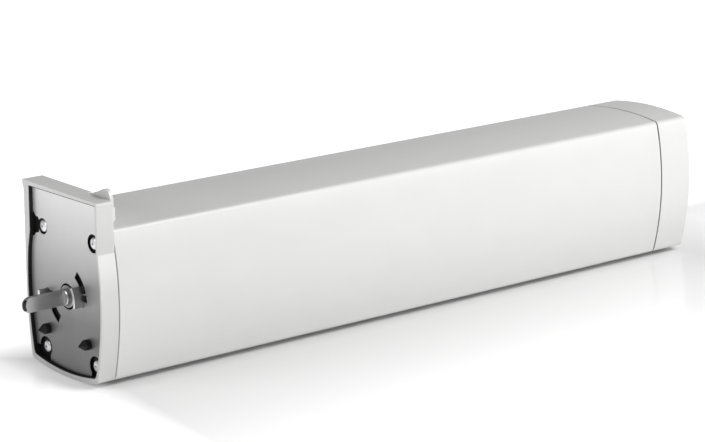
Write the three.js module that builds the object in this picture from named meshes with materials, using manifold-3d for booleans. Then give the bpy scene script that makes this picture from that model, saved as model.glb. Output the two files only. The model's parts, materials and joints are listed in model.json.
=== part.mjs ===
// Crank-driven window operator: two arms folded in a long casing, swung out by worm gears.
// Millimetres. +X runs along the casing away from the crank, -Y is the room side, +Z is up.
import * as THREE from 'three'
import { mergeVertices } from 'three/addons/utils/BufferGeometryUtils.js'
import Module from 'manifold-3d'

const wasm = await Module()
wasm.setup()

// Driving dimensions
const LENGTH = 536
const DEPTH = 76
const HEIGHT = 100
const BULGE = { bottom: 3.9, back: 4.7, top: 3.2, front: 6.9 }
const CORNER_RADIUS = 2.6
const WALL = 2.2
const GAP = 0.3
const SEAM = 0.8

// Crank end frame and its raised block, thicker above the casing, with a rebate for the release lever
const FRAME_END = 13
const BLOCK_END = 15.8
const BLOCK_FOOT = 104.3
const REBATE_FLOOR = 12.3
const REBATE_SIDE = 25.2
const BLOCK_TOP = 119.8
const BLOCK_FRONT = -3.3
const BLOCK_FRONT_FOOT = 86
const FLAT_BACK = DEPTH + BULGE.back
const LIP = 1.9

// Recess in the frame's outer face and the plate let into it
const RECESS = 8
const RIM = { front: 1.9, bottom: 3.1, back: 2.2 }
const RECESS_REAR = 75.3
const RECESS_TOP = BLOCK_TOP - 2.8
const PLATE_X = 2.8
const PLATE_THICKNESS = 1.2
const AXIS_Y = 36.6
const AXIS_Z = 49.8

// Screws along X at the four corners of the section
const CORNER_SCREWS = [
  { name: 'top_front', y: 6.1, z: 91.4 },
  { name: 'top_rear', y: 64.3, z: 91.2 },
  { name: 'bottom_front', y: 5.8, z: 9.7 },
  { name: 'bottom_rear', y: 63.6, z: 9.5 }
]
const SCREW_RADIUS = 2
const HEAD_RADIUS = 3.9
const HEAD_HEIGHT = 2
const SOCKET_RADIUS = 1.3
const SOCKET_DEPTH = 1.2
const HEAD_HOLE = 5.2
const POCKET_RADIUS = 7
const NOTCH = { half: 5.5, flare: 3, depth: 4.1 }
const PORT_RADIUS = 5
const END_SCREW_LENGTH = 18
const FAR_SCREW_LENGTH = 38

// Black cup behind the plate
const CUP_FIT = 0.2
const CUP_WALL = 0.3
const CUP_FRONT = 0.3
const CUP_FLOOR = PLATE_X + HEAD_HEIGHT + GAP
const CUP_BACK = CUP_FLOOR + 1

// Casing and far cap
const CAP_LENGTH = 30.3
const CAP_WALL = 3
const CAP_START = LENGTH - CAP_LENGTH
const CASING_START = FRAME_END + SEAM
const CASING_END = CAP_START - SEAM

// Worm gearing: one start, on the crank's axis, the wheels behind it
const MODULE = 1.5
const WHEEL_TEETH = 18
const WORM_PITCH_RADIUS = 8
const WHEEL_PITCH_RADIUS = MODULE * WHEEL_TEETH / 2
const WHEEL_WIDTH = 8
const WORM_LENGTH = 26
const LEAD = Math.PI * MODULE
const TOOTH_THICKNESS = LEAD / 2 - 0.35
const PRESSURE_ANGLE = 20 * Math.PI / 180
const ADDENDUM = MODULE
const DEDENDUM = 1.25 * MODULE
const PIVOT_Y = AXIS_Y + WORM_PITCH_RADIUS + WHEEL_PITCH_RADIUS

// Arms
const ARM_LENGTH = 190
const ARM_WIDTH = 16
const ARM_THICKNESS = 4
const ARM_Z = 70
const ROLLER_RADIUS = 6
const ROLLER_HEIGHT = 7.4
const ROLLER_PIN_RADIUS = 2.5
const PIVOTS = [
  { side: 'left', x: 60, towards: 1 },
  { side: 'right', x: 465, towards: -1 }
]

// Shafts
const STUB_RADIUS = 5
const SHAFT_RADIUS = 4
const SPINDLE_RADIUS = 5
const STUB_END = 27
const SHAFT_END = PIVOTS[1].x + 27

// Gear cases, carried on two rails inside the casing
const CASE_HALF = 22
const CASE_WALL = 5
const PLATE_STOCK = 3
const RAIL_Z = 28
const RAIL_THICKNESS = 2
const CASE_FLOOR = RAIL_Z + RAIL_THICKNESS + GAP
const CASE_TOP = 60
const CASE_FRONT = 1
const CASE_WALL_FRONT = 24
const CASE_BACK = 74.5
const RAIL_REACH = 13
const RAIL_SCREWS_Y = [5.5, 70.5]
const RAIL_SCREW_LENGTH = 7
const CASE_SCREW_SHIFT = 12
const COVER_SCREW_RADIUS = 1.4
const COVER_SCREW_LENGTH = 9
const COVER_HOLE_DEPTH = 6
const INPUT_BUSH_RADIUS = 9
const WORM_BUSH_RADIUS = 6.5
const SPINDLE_BUSH_RADIUS = 7.5
const FLANGE = 1
const HANGER_X = 262
const HANGER_HALF = 6

// Slot in the back of the casing for the arms
const SLOT_Z = [57, 79]
const SLOT_X = [PIVOTS[0].x - 18, PIVOTS[1].x + 18]
const LINER = 1.4

// Release lever on the inner face of the block
const LEVER_PIVOT = { y: 12, z: 110.5 }
const LEVER_X = REBATE_FLOOR + GAP
const LEVER_THICKNESS = 2.4
const LEVER_FRONT = -0.6
const PIN_RADIUS = 2

// Claws round the crank, the slots they pass through, the hub and the pointed studs
const CLAW_RING = { inner: 9, outer: 26 }
const CLAWS = [
  { inner: 17.1, outer: 18.9, start: -9, end: 34 },
  { inner: 22.3, outer: 24.4, start: 179, end: 205 }
]
const CLAW_TIP = -4.2
const SLOTS = [
  { inner: 16.8, outer: 22.4, start: 1.5, end: 59 },
  { inner: 16.8, outer: 19.2, start: -11, end: 2 },
  { inner: 17.6, outer: 22.8, start: 180.5, end: 240.5 },
  { inner: 22, outer: 24.7, start: 178, end: 207 }
]
const BRIDGE = { inner: 19.3, outer: 22.8, start: 14.5, end: 17.5 }
const HUB_RADIUS = 7.4
const HUB_HOLE = 8.7
const STUD = { radius: 3.5, height: 8.3, shank: 2, z: 23.1 }
const STUDS_Y = [13, 59.7]

// Blade the crank handle slides over
const BLADE = { tip: -31.9, height: 10.5, thickness: 3.3, boss: 5.6 }

// Materials
function finish (color, metalness, roughness) {
  return new THREE.MeshStandardMaterial({ color, metalness, roughness })
}
const SILVER = () => finish(0xdcdcda, 0.2, 0.4)
const PLATE = () => finish(0xa8a8a8, 0.8, 0.45)
const STEEL = () => finish(0x9a9a9c, 0.9, 0.35)
const BRIGHT = () => finish(0xcfcfd2, 0.9, 0.25)
const BRONZE = () => finish(0xa87c46, 0.8, 0.4)
const ZINC = () => finish(0x8c9094, 0.7, 0.55)
const BLACK = () => finish(0x232323, 0, 0.7)
const NYLON = () => finish(0xd8d6cc, 0, 0.6)

// Solid helpers
function solid (geometry) {
  geometry.deleteAttribute('normal')
  geometry.deleteAttribute('uv')
  const merged = mergeVertices(geometry, 1e-4)
  return new wasm.Manifold(new wasm.Mesh({
    numProp: 3,
    vertProperties: Float32Array.from(merged.attributes.position.array),
    triVerts: Uint32Array.from(merged.index.array)
  }))
}

function shapeOf (points) {
  return new THREE.Shape(points.map(([a, b]) => new THREE.Vector2(a, b)))
}

// A (y, z) outline drawn out along X
function prismX (points, from, to) {
  const geometry = new THREE.ExtrudeGeometry(shapeOf(points), { depth: to - from, bevelEnabled: false })
  const turn = new THREE.Matrix4().set(0, 0, 1, from, 1, 0, 0, 0, 0, 1, 0, 0, 0, 0, 0, 1)
  return solid(geometry.applyMatrix4(turn))
}

// An (x, y) outline drawn out along Z
function prismZ (points, from, to) {
  const geometry = new THREE.ExtrudeGeometry(shapeOf(points), { depth: to - from, bevelEnabled: false })
  return solid(geometry.translate(0, 0, from))
}

function circle (a, b, radius, sides = 16) {
  return Array.from({ length: sides }, (_, i) => {
    const angle = (i + 0.5) * 2 * Math.PI / sides
    return [a + radius * Math.cos(angle), b + radius * Math.sin(angle)]
  })
}

function rodX (y, z, radius, from, to, sides) {
  return prismX(circle(y, z, radius, sides), from, to)
}

function rodZ (x, y, radius, from, to, sides) {
  return prismZ(circle(x, y, radius, sides), from, to)
}

function box (x, y, z) {
  return prismZ([[x[0], y[0]], [x[1], y[0]], [x[1], y[1]], [x[0], y[1]]], z[0], z[1])
}

// A profile of [x, radius] points in order of x, turned about a line along X
function turnedX (profile, y, z, sides = 16) {
  const points = profile.map(([x, radius]) => new THREE.Vector2(radius, x))
  const geometry = new THREE.LatheGeometry(points, sides)
  geometry.rotateZ(-Math.PI / 2)
  return solid(geometry.translate(0, y, z))
}

// A profile of [z, radius] points in order of z, turned about a line along Z
function turnedZ (profile, x, y, sides = 16) {
  const points = profile.map(([z, radius]) => new THREE.Vector2(radius, z))
  const geometry = new THREE.LatheGeometry(points, sides)
  geometry.rotateX(Math.PI / 2)
  return solid(geometry.translate(x, y, 0))
}

// Arc between two radii about the crank axis; angles in degrees from -Y towards +Z
function sector (inner, outer, start, end, steps = 8) {
  const at = (radius, i) => {
    const angle = (start + (end - start) * i / steps) * Math.PI / 180
    return [AXIS_Y - radius * Math.cos(angle), AXIS_Z + radius * Math.sin(angle)]
  }
  const indices = Array.from({ length: steps + 1 }, (_, i) => i)
  return [...indices.map(i => at(inner, i)), ...indices.reverse().map(i => at(outer, i))]
}

// Section outlines, as (y, z) points counter-clockwise from the front lower corner

// Points along one side, bulging to the right of the way from a to b, over a share of its length
function bulgedSide (a, b, bulge, start = 0, end = 1, steps = 8) {
  const length = Math.hypot(b[0] - a[0], b[1] - a[1])
  const along = [(b[0] - a[0]) / length, (b[1] - a[1]) / length]
  const radius = (length * length / 4 + bulge * bulge) / (2 * bulge)
  return Array.from({ length: steps + 1 }, (_, i) => {
    const s = (start + (end - start) * i / steps - 0.5) * length
    const out = Math.sqrt(radius * radius - s * s) - (radius - bulge)
    return [
      (a[0] + b[0]) / 2 + along[0] * s + along[1] * out,
      (a[1] + b[1]) / 2 + along[1] * s - along[0] * out
    ]
  })
}

function pillow (inset, radius) {
  const [far, high] = [DEPTH - inset, HEIGHT - inset]
  const corners = [[inset, inset], [far, inset], [far, high], [inset, high]]
  const bulges = [BULGE.bottom, BULGE.back, BULGE.top, BULGE.front]
  const outline = []
  corners.forEach((corner, i) => {
    const next = corners[(i + 1) % 4]
    const cut = radius / Math.hypot(next[0] - corner[0], next[1] - corner[1])
    const side = bulgedSide(corner, next, bulges[i], cut, 1 - cut)
    const before = outline.length ? outline[outline.length - 1] : null
    if (before) outline.push(roundedCorner(before, corner, side[0]))
    outline.push(...side)
  })
  outline.push(roundedCorner(outline[outline.length - 1], corners[0], outline[0]))
  return outline
}

function roundedCorner (before, corner, after) {
  return [0, 1].map(k => (before[k] + 2 * corner[k] + after[k]) / 4)
}

// The crank end frame follows the casing's section up to a squared block with a flat back
function frameOutline () {
  const front = bulgedSide([0, HEIGHT], [0, 0], BULGE.front, 1 - BLOCK_FRONT_FOOT / HEIGHT, 0.975)
  const bottom = bulgedSide([0, 0], [DEPTH, 0], BULGE.bottom, 0.03, 0.97)
  const back = bulgedSide([DEPTH, 0], [DEPTH, HEIGHT], BULGE.back, 0.025, 0.5, 5)
  return [
    roundedCorner(front[front.length - 1], [0, 0], bottom[0]),
    ...bottom,
    roundedCorner(bottom[bottom.length - 1], [DEPTH, 0], back[0]),
    ...back,
    [FLAT_BACK, BLOCK_TOP - 7],
    [FLAT_BACK + 0.4 * LIP, BLOCK_TOP - 4.5],
    [FLAT_BACK + LIP, BLOCK_TOP - 1.6],
    [FLAT_BACK + LIP, BLOCK_TOP],
    [BLOCK_FRONT + 2.4, BLOCK_TOP],
    [BLOCK_FRONT + 0.7, BLOCK_TOP - 0.7],
    [BLOCK_FRONT, BLOCK_TOP - 2.4],
    ...front
  ]
}

// Opening in the frame's outer face: thin rim below, a thicker one behind the block
function recessOutline () {
  const near = RIM.front
  const far = DEPTH - RIM.back
  const low = RIM.bottom
  const front = bulgedSide([near, HEIGHT], [near, low], BULGE.front, 1 - BLOCK_FRONT_FOOT / HEIGHT, 0.97)
  const bottom = bulgedSide([near, low], [far, low], BULGE.bottom, 0.03, 0.97)
  const back = bulgedSide([far, low], [far, HEIGHT], BULGE.back + 0.6, 0.03, 0.74, 5)
  return [
    ...bottom,
    ...back,
    [RECESS_REAR, BLOCK_FRONT_FOOT + 1],
    [RECESS_REAR, RECESS_TOP],
    [BLOCK_FRONT + near, RECESS_TOP + 1],
    ...front
  ]
}

// Every corner moved inwards by the same distance from both of its edges
function inset (points, distance) {
  return points.map((point, i) => {
    const before = points[(i + points.length - 1) % points.length]
    const after = points[(i + 1) % points.length]
    const [ay, az] = unit(before, point)
    const [by, bz] = unit(point, after)
    const scale = distance / (1 + ay * by + az * bz)
    return [point[0] - (az + bz) * scale, point[1] + (ay + by) * scale]
  })
}

function unit (a, b) {
  const length = Math.hypot(b[0] - a[0], b[1] - a[1])
  return [(b[0] - a[0]) / length, (b[1] - a[1]) / length]
}

// Crank end: frame, cup, plate, studs and claws

function crankEndFrame () {
  const block = [BLOCK_FOOT, BLOCK_TOP]
  const thicker = prismX(frameOutline(), FRAME_END - 1, BLOCK_END)
    .intersect(box([0, BLOCK_END], [REBATE_SIDE, FLAT_BACK + LIP], block))
  const rebate = box([REBATE_FLOOR, BLOCK_END], [BLOCK_FRONT, REBATE_SIDE], block)
  let body = prismX(frameOutline(), 0, FRAME_END).add(thicker).subtract(rebate)
  body = body.subtract(prismX(recessOutline(), -1, RECESS))
  for (const { y, z } of CORNER_SCREWS) {
    body = body.subtract(rodX(y, z, SCREW_RADIUS + GAP, 0, FRAME_END + 1, 12))
  }
  body = body.subtract(rodX(LEVER_PIVOT.y, LEVER_PIVOT.z, PIN_RADIUS + GAP, 0, FRAME_END, 12))
  return body.subtract(rodX(AXIS_Y, AXIS_Z, INPUT_BUSH_RADIUS + GAP, 0, FRAME_END + 1))
}

// Black cup that lines the frame's recess, with a floor behind the plate that the claws pass through
function endCup () {
  const outer = inset(recessOutline(), CUP_FIT)
  const inner = inset(recessOutline(), CUP_FIT + CUP_WALL)
  let body = prismX(outer, CUP_FRONT, RECESS - GAP).subtract(prismX(inner, 0, CUP_FLOOR))
  for (const { y, z } of CORNER_SCREWS) {
    body = body.subtract(rodX(y, z, SCREW_RADIUS + GAP, 0, RECESS, 12))
  }
  for (const { inner, outer, start, end } of CLAWS) {
    body = body.subtract(prismX(sector(inner - GAP, outer + GAP, start - 1, end + 1), 0, RECESS))
  }
  body = body.subtract(rodX(AXIS_Y, AXIS_Z, CLAW_RING.outer + GAP, CUP_BACK, RECESS, 32))
  return body.subtract(rodX(AXIS_Y, AXIS_Z, HUB_RADIUS + GAP, 0, RECESS, 28))
}

// What the plate leaves open for one corner screw
function screwOpening ({ y, z }) {
  const through = [0, PLATE_X + PLATE_THICKNESS + 1]
  const rear = y > AXIS_Y
  if (z < AXIS_Z) {
    const corner = rear ? [y - 5, FLAT_BACK] : [-BULGE.front, y + 5]
    return rodX(y, z, POCKET_RADIUS, ...through, 24).add(box(through, corner, [-BULGE.bottom, z]))
  }
  const hole = rodX(y, z, HEAD_HOLE, ...through, 24)
  if (!rear) return hole
  const { half, flare, depth } = NOTCH
  const floor = y + depth
  return hole.add(prismX([
    [floor, z - half],
    [floor + flare, z - half],
    [floor + 2 * flare, z - half - flare],
    [FLAT_BACK, z - half - flare],
    [FLAT_BACK, z + half + flare],
    [floor + 2 * flare, z + half + flare],
    [floor + flare, z + half],
    [floor, z + half]
  ], ...through))
}

// Sheet plate, cut away round the screws, the hub and the claws
function crankEndPlate () {
  const back = PLATE_X + PLATE_THICKNESS
  let body = prismX(inset(recessOutline(), CUP_WALL + 2 * CUP_FIT), PLATE_X, back)
  for (const screw of CORNER_SCREWS) {
    body = body.subtract(screwOpening(screw))
  }
  body = body.subtract(rodX(AXIS_Y, AXIS_Z, HUB_HOLE, 0, back + 1, 28))
  for (const { inner, outer, start, end } of SLOTS) {
    body = body.subtract(prismX(sector(inner, outer, start, end), 0, back + 1))
  }
  for (const y of STUDS_Y) {
    body = body.subtract(rodX(y, STUD.z, STUD.shank + GAP, 0, back + 1, 12))
  }
  return body.add(prismX(sector(BRIDGE.inner, BRIDGE.outer, BRIDGE.start, BRIDGE.end, 1), PLATE_X, back))
}

// Pointed stud with its shoulder on the plate and a shank through it
function locatingStud (y) {
  const face = PLATE_X - GAP
  const back = PLATE_X + PLATE_THICKNESS
  const tip = PLATE_X - STUD.height
  return turnedX([
    [tip, 0],
    [tip + 0.4, 0.7],
    [face - 2.4, STUD.radius],
    [face, STUD.radius],
    [face, STUD.shank],
    [back, STUD.shank],
    [back, 0]
  ], y, STUD.z)
}

// Ring behind the cup's floor whose two curved claws stand out through the cup and the plate
function clawBracket () {
  const from = CUP_BACK + GAP
  const back = RECESS - GAP
  let body = rodX(AXIS_Y, AXIS_Z, CLAW_RING.outer, from, back, 32)
  for (const { inner, outer, start, end } of CLAWS) {
    body = body.add(prismX(sector(inner, outer, start, end), CLAW_TIP, back))
  }
  return body.subtract(rodX(AXIS_Y, AXIS_Z, CLAW_RING.inner, 0, RECESS, 28))
}

// Pan-head screw along X: face is the head's outer face, way the direction its shank points
function screwX (y, z, face, way, length) {
  const profile = [
    [0, 0],
    [0, HEAD_RADIUS - 0.8],
    [0.7, HEAD_RADIUS],
    [HEAD_HEIGHT, HEAD_RADIUS],
    [HEAD_HEIGHT, SCREW_RADIUS],
    [length, SCREW_RADIUS],
    [length, 0]
  ].map(([depth, radius]) => [face + way * depth, radius])
  const socket = rodX(y, z, SOCKET_RADIUS, face - SOCKET_DEPTH, face + SOCKET_DEPTH, 6)
  return turnedX(way > 0 ? profile : profile.reverse(), y, z, 12).subtract(socket)
}

// Pan-head screw pointing down, its head resting just above the seat
function screwZ (x, y, seat, radius, length) {
  const head = radius * 2.1
  const from = seat + GAP
  const top = from + radius
  const body = turnedZ([
    [seat - length, 0],
    [seat - length, radius],
    [from, radius],
    [from, head],
    [top, head],
    [top, 0]
  ], x, y, 12)
  return body.subtract(rodZ(x, y, radius * 0.7, top - radius / 2, top + 1, 6))
}

// Profile of a flanged bush as [distance along its axis, radius], the flange at the far end
function bushProfile (bore, radius, from, to) {
  return [
    [from, bore],
    [from, radius],
    [to - FLANGE, radius],
    [to - FLANGE, radius + 2],
    [to, radius + 2],
    [to, bore],
    [from, bore]
  ]
}

// Flanged bush along X; the flange is at the end it faces
function bushX (y, z, bore, radius, from, to, way) {
  const profile = bushProfile(bore, radius, from, to)
  return turnedX(way > 0 ? profile : profile.map(([x, r]) => [from + to - x, r]).reverse(), y, z)
}

// Flanged bush along Z with its flange on top
function bushZ (x, y, bore, radius, from, to) {
  return turnedZ(bushProfile(bore, radius, from, to), x, y)
}

function inputBush () {
  return bushX(AXIS_Y, AXIS_Z, STUB_RADIUS + GAP, INPUT_BUSH_RADIUS, RECESS, FRAME_END + GAP + FLANGE, 1)
}

// Casing and far cap

// Round screw port along X with a rib out to the nearer side wall
function port ({ y, z }, radius, from, to) {
  const reach = y > DEPTH / 2 ? [y, FLAT_BACK] : [-BULGE.front, y]
  return rodX(y, z, radius, from, to, 16).add(box([from, to], reach, [z - WALL / 2, z + WALL / 2]))
}

function casing () {
  let body = prismX(pillow(0, CORNER_RADIUS), CASING_START, CASING_END)
  const skin = prismX(pillow(WALL / 2, CORNER_RADIUS), CASING_START, CASING_END)
  body = body.subtract(prismX(pillow(WALL, 1), 0, LENGTH))
  const rails = [[-BULGE.front, RAIL_REACH - 2], [DEPTH - RAIL_REACH + 2, FLAT_BACK]]
  for (const reach of rails) {
    const rail = box([CASING_START, CASING_END], reach, [RAIL_Z, RAIL_Z + RAIL_THICKNESS])
    body = body.add(rail.intersect(skin))
  }
  for (const screw of CORNER_SCREWS) {
    body = body.add(port(screw, PORT_RADIUS, CASING_START, CASING_END).intersect(skin))
    body = body.subtract(rodX(screw.y, screw.z, SCREW_RADIUS + GAP, 0, LENGTH, 8))
  }
  for (const x of [...PIVOTS.map(caseScrewsX), HANGER_X]) {
    body = body.subtract(railScrewHoles(x))
  }
  return body.subtract(box(SLOT_X, [CASE_BACK, DEPTH + 20], SLOT_Z))
}

// Holes for the two screws that hold a case or the hanger to the rails
function railScrewHoles (x) {
  const [front, rear] = RAIL_SCREWS_Y.map(y =>
    rodZ(x, y, SCREW_RADIUS + GAP, RAIL_Z - 1, CASE_FLOOR + PLATE_STOCK + 1, 12))
  return front.add(rear)
}

function caseScrewsX ({ x, towards }) {
  return x + towards * CASE_SCREW_SHIFT
}

// Frame that edges the slot in the back of the casing
function slotLiner () {
  const grow = (span, by) => [span[0] - by, span[1] + by]
  const y = [DEPTH, FLAT_BACK - 0.2]
  const outer = box(grow(SLOT_X, -GAP), y, grow(SLOT_Z, -GAP))
  const inner = box(grow(SLOT_X, -GAP - LINER), grow(y, 1), grow(SLOT_Z, -GAP - LINER))
  return outer.subtract(inner)
}

function farEndCap () {
  const closed = prismX(pillow(0, CORNER_RADIUS), CAP_START, LENGTH)
  const skin = prismX(pillow(WALL / 2, CORNER_RADIUS), CAP_START + GAP, LENGTH - 1)
  let body = closed.subtract(prismX(pillow(WALL, 1), 0, LENGTH - CAP_WALL))
  for (const screw of CORNER_SCREWS) {
    const { y, z } = screw
    body = body.add(port(screw, HEAD_RADIUS + 1.3, CAP_START + GAP, LENGTH - 1).intersect(skin))
    body = body.subtract(rodX(y, z, SCREW_RADIUS + GAP, 0, LENGTH + 1, 12))
    body = body.subtract(rodX(y, z, HEAD_RADIUS + GAP, LENGTH - CAP_WALL, LENGTH + 1))
  }
  return body
}

// Gear cases and the hanger that carries the middle of the shaft

function gearCase (pivot) {
  const { x } = pivot
  const ends = [x - CASE_HALF, x + CASE_HALF]
  const floorTop = CASE_FLOOR + PLATE_STOCK
  let body = box(ends, [CASE_FRONT, CASE_BACK], [CASE_FLOOR, floorTop])
  for (const end of [ends[0], ends[1] - CASE_WALL]) {
    body = body.add(box([end, end + CASE_WALL], [CASE_WALL_FRONT, CASE_BACK], [CASE_FLOOR, CASE_TOP]))
  }
  body = body.subtract(rodX(AXIS_Y, AXIS_Z, WORM_BUSH_RADIUS + GAP, ends[0] - 1, ends[1] + 1, 16))
  body = body.subtract(rodZ(x, PIVOT_Y, SPINDLE_BUSH_RADIUS + GAP, 0, floorTop + 1))
  body = body.subtract(railScrewHoles(caseScrewsX(pivot)))
  const hole = [CASE_TOP - COVER_HOLE_DEPTH, CASE_TOP + 1]
  for (const [atX, atY] of coverScrews(x)) {
    body = body.subtract(rodZ(atX, atY, COVER_SCREW_RADIUS + GAP, ...hole, 12))
  }
  return body
}

function coverScrews (x) {
  const reach = CASE_HALF - CASE_WALL / 2
  return [[x - reach, CASE_WALL_FRONT + 5], [x + reach, CASE_BACK - 5]]
}

function gearCover ({ x }) {
  const from = CASE_TOP + GAP
  const to = from + PLATE_STOCK
  let body = box([x - CASE_HALF, x + CASE_HALF], [CASE_WALL_FRONT, CASE_BACK], [from, to])
  body = body.subtract(rodZ(x, PIVOT_Y, SPINDLE_BUSH_RADIUS + GAP, 0, to + 1))
  for (const [atX, atY] of coverScrews(x)) {
    body = body.subtract(rodZ(atX, atY, COVER_SCREW_RADIUS + GAP, 0, to + 1, 12))
  }
  return body
}

function shaftHanger () {
  const width = [HANGER_X - HANGER_HALF, HANGER_X + HANGER_HALF]
  const base = box(width, [CASE_FRONT, CASE_BACK], [CASE_FLOOR, CASE_FLOOR + PLATE_STOCK])
  const post = box(width, [AXIS_Y - 1.5 * HANGER_HALF, AXIS_Y + 1.5 * HANGER_HALF], [CASE_FLOOR, CASE_TOP])
  let body = base.add(post)
  body = body.subtract(rodX(AXIS_Y, AXIS_Z, SHAFT_RADIUS + GAP, 0, LENGTH, 16))
  return body.subtract(railScrewHoles(HANGER_X))
}

// Shafts, worms and wheels

// Flat blade with a round end, then a boss, a hub disc and a round stub into the coupling
function crankTangShaft () {
  const radius = BLADE.height / 2
  const centre = BLADE.tip + radius
  const side = Array.from({ length: 13 }, (_, i) => {
    const angle = Math.PI / 2 + Math.PI * i / 12
    return [centre + radius * Math.cos(angle), radius * Math.sin(angle)]
  })
  const outline = [...side, [PLATE_X, -radius], [PLATE_X, radius]]
  const settings = { depth: BLADE.thickness, bevelEnabled: false }
  const geometry = new THREE.ExtrudeGeometry(shapeOf(outline), settings)
  geometry.rotateX(Math.PI / 2)
  const blade = solid(geometry.translate(0, AXIS_Y + BLADE.thickness / 2, AXIS_Z))
  const face = PLATE_X - 0.6
  const turned = turnedX([
    [face - 3, 0],
    [face - 3, BLADE.boss],
    [face, BLADE.boss],
    [face, HUB_RADIUS],
    [RECESS - GAP, HUB_RADIUS],
    [RECESS - GAP, STUB_RADIUS],
    [STUB_END, STUB_RADIUS],
    [STUB_END, 0]
  ], AXIS_Y, AXIS_Z, 20)
  return turned.add(blade)
}

// Sleeve that joins the crank's stub to the long shaft
function shaftCoupling () {
  const from = STUB_END - 8
  const to = STUB_END + 9.5
  const step = STUB_END + GAP / 2
  const outer = SHAFT_RADIUS + 5
  return turnedX([
    [from, STUB_RADIUS + GAP],
    [from, outer],
    [to, outer],
    [to, SHAFT_RADIUS + GAP],
    [step, SHAFT_RADIUS + GAP],
    [step, STUB_RADIUS + GAP],
    [from, STUB_RADIUS + GAP]
  ], AXIS_Y, AXIS_Z)
}

function driveShaft () {
  return rodX(AXIS_Y, AXIS_Z, SHAFT_RADIUS, STUB_END + GAP, SHAFT_END, 16)
}

// One-start thread as a grid that follows the helix, then trimmed square; the two sides wind opposite ways
function worm ({ x, towards: hand }) {
  const steps = 16
  const slope = Math.tan(PRESSURE_ANGLE)
  const crest = TOOTH_THICKNESS / 2 - ADDENDUM * slope
  const root = TOOTH_THICKNESS / 2 + DEDENDUM * slope
  const outer = WORM_PITCH_RADIUS + ADDENDUM
  const inner = WORM_PITCH_RADIUS - DEDENDUM
  const thread = [[-root, inner], [-crest, outer], [crest, outer], [root, inner]]
  const turns = Math.ceil(WORM_LENGTH / LEAD / 2) + 1
  const rows = []
  for (let turn = -turns; turn <= turns; turn++) {
    for (const [offset, radius] of thread) rows.push([turn * LEAD + offset, radius])
  }
  const vertices = []
  const triangles = []
  for (let step = 0; step <= steps; step++) {
    const angle = 2 * Math.PI * step / steps
    for (const [offset, radius] of rows) {
      const along = offset + LEAD * step / steps
      vertices.push([x + hand * along, AXIS_Y + radius * Math.cos(angle), AXIS_Z + radius * Math.sin(angle)])
    }
  }
  const at = (step, row) => step * rows.length + row
  for (let step = 0; step < steps; step++) {
    for (let row = 0; row < rows.length - 1; row++) {
      triangles.push([at(step, row), at(step, row + 1), at(step + 1, row + 1)])
      triangles.push([at(step, row), at(step + 1, row + 1), at(step + 1, row)])
    }
  }
  const low = vertices.push([x - hand * (turns + 1) * LEAD, AXIS_Y, AXIS_Z]) - 1
  const high = vertices.push([x + hand * (turns + 2) * LEAD, AXIS_Y, AXIS_Z]) - 1
  const last = rows.length - 1
  const perTurn = thread.length
  for (let step = 0; step < steps; step++) {
    triangles.push([low, at(step, 0), at(step + 1, 0)])
    triangles.push([high, at(step + 1, last), at(step, last)])
  }
  for (let row = 0; row < perTurn; row++) {
    triangles.push([low, at(0, row + 1), at(0, row)])
    triangles.push([high, at(steps, last - perTurn + row), at(steps, last - perTurn + row + 1)])
  }
  const geometry = new THREE.BufferGeometry()
  geometry.setAttribute('position', new THREE.Float32BufferAttribute(vertices.flat(), 3))
  geometry.setIndex(triangles.map(triangle => hand < 0 ? triangle : triangle.toReversed()).flat())
  const half = WORM_LENGTH / 2
  return solid(geometry)
    .intersect(rodX(AXIS_Y, AXIS_Z, outer + 1, x - half, x + half))
    .subtract(rodX(AXIS_Y, AXIS_Z, SHAFT_RADIUS + GAP, 0, LENGTH, 16))
}

// Involute outline with a gap facing the worm, in a helix that follows the worm's thread
function armWheel ({ x, towards }) {
  const base = WHEEL_PITCH_RADIUS * Math.cos(PRESSURE_ANGLE)
  const involute = angle => Math.tan(angle) - angle
  const halfAngle = radius => TOOTH_THICKNESS / 2 / WHEEL_PITCH_RADIUS + involute(PRESSURE_ANGLE) -
    involute(Math.acos(Math.min(1, base / radius)))
  const radii = [WHEEL_PITCH_RADIUS - DEDENDUM, base, WHEEL_PITCH_RADIUS + ADDENDUM]
  const outline = []
  for (let tooth = 0; tooth < WHEEL_TEETH; tooth++) {
    const middle = 2 * Math.PI * (tooth + 0.5) / WHEEL_TEETH - Math.PI / 2
    const flank = side => radii.map(radius => {
      const angle = middle + side * halfAngle(radius)
      return [radius * Math.cos(angle), radius * Math.sin(angle)]
    })
    outline.push(...flank(-1), ...flank(1).reverse())
  }
  const settings = { depth: WHEEL_WIDTH, steps: 2, bevelEnabled: false }
  const geometry = new THREE.ExtrudeGeometry(shapeOf(outline), settings)
  geometry.translate(0, 0, -WHEEL_WIDTH / 2)
  const place = geometry.attributes.position
  const leadSlope = LEAD / (2 * Math.PI * WORM_PITCH_RADIUS)
  for (let i = 0; i < place.count; i++) {
    const turn = towards * place.getZ(i) * leadSlope / WHEEL_PITCH_RADIUS
    const [px, py] = [place.getX(i), place.getY(i)]
    place.setXY(i, px * Math.cos(turn) - py * Math.sin(turn), px * Math.sin(turn) + py * Math.cos(turn))
  }
  const hub = rodZ(x, PIVOT_Y, SPINDLE_RADIUS + 3, CASE_FLOOR + PLATE_STOCK + 2 * GAP + FLANGE, CASE_TOP)
  return solid(geometry.translate(x, PIVOT_Y, AXIS_Z)).add(hub)
    .subtract(rodZ(x, PIVOT_Y, SPINDLE_RADIUS + GAP, 0, BLOCK_TOP))
}

// Arms

function armSpindle ({ x }) {
  const from = CASE_FLOOR + GAP
  const to = ARM_Z + ARM_THICKNESS + 7
  return turnedZ([
    [from, 0],
    [from, SPINDLE_RADIUS],
    [to - 1, SPINDLE_RADIUS],
    [to, SPINDLE_RADIUS - 1],
    [to, 0]
  ], x, PIVOT_Y)
}

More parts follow.
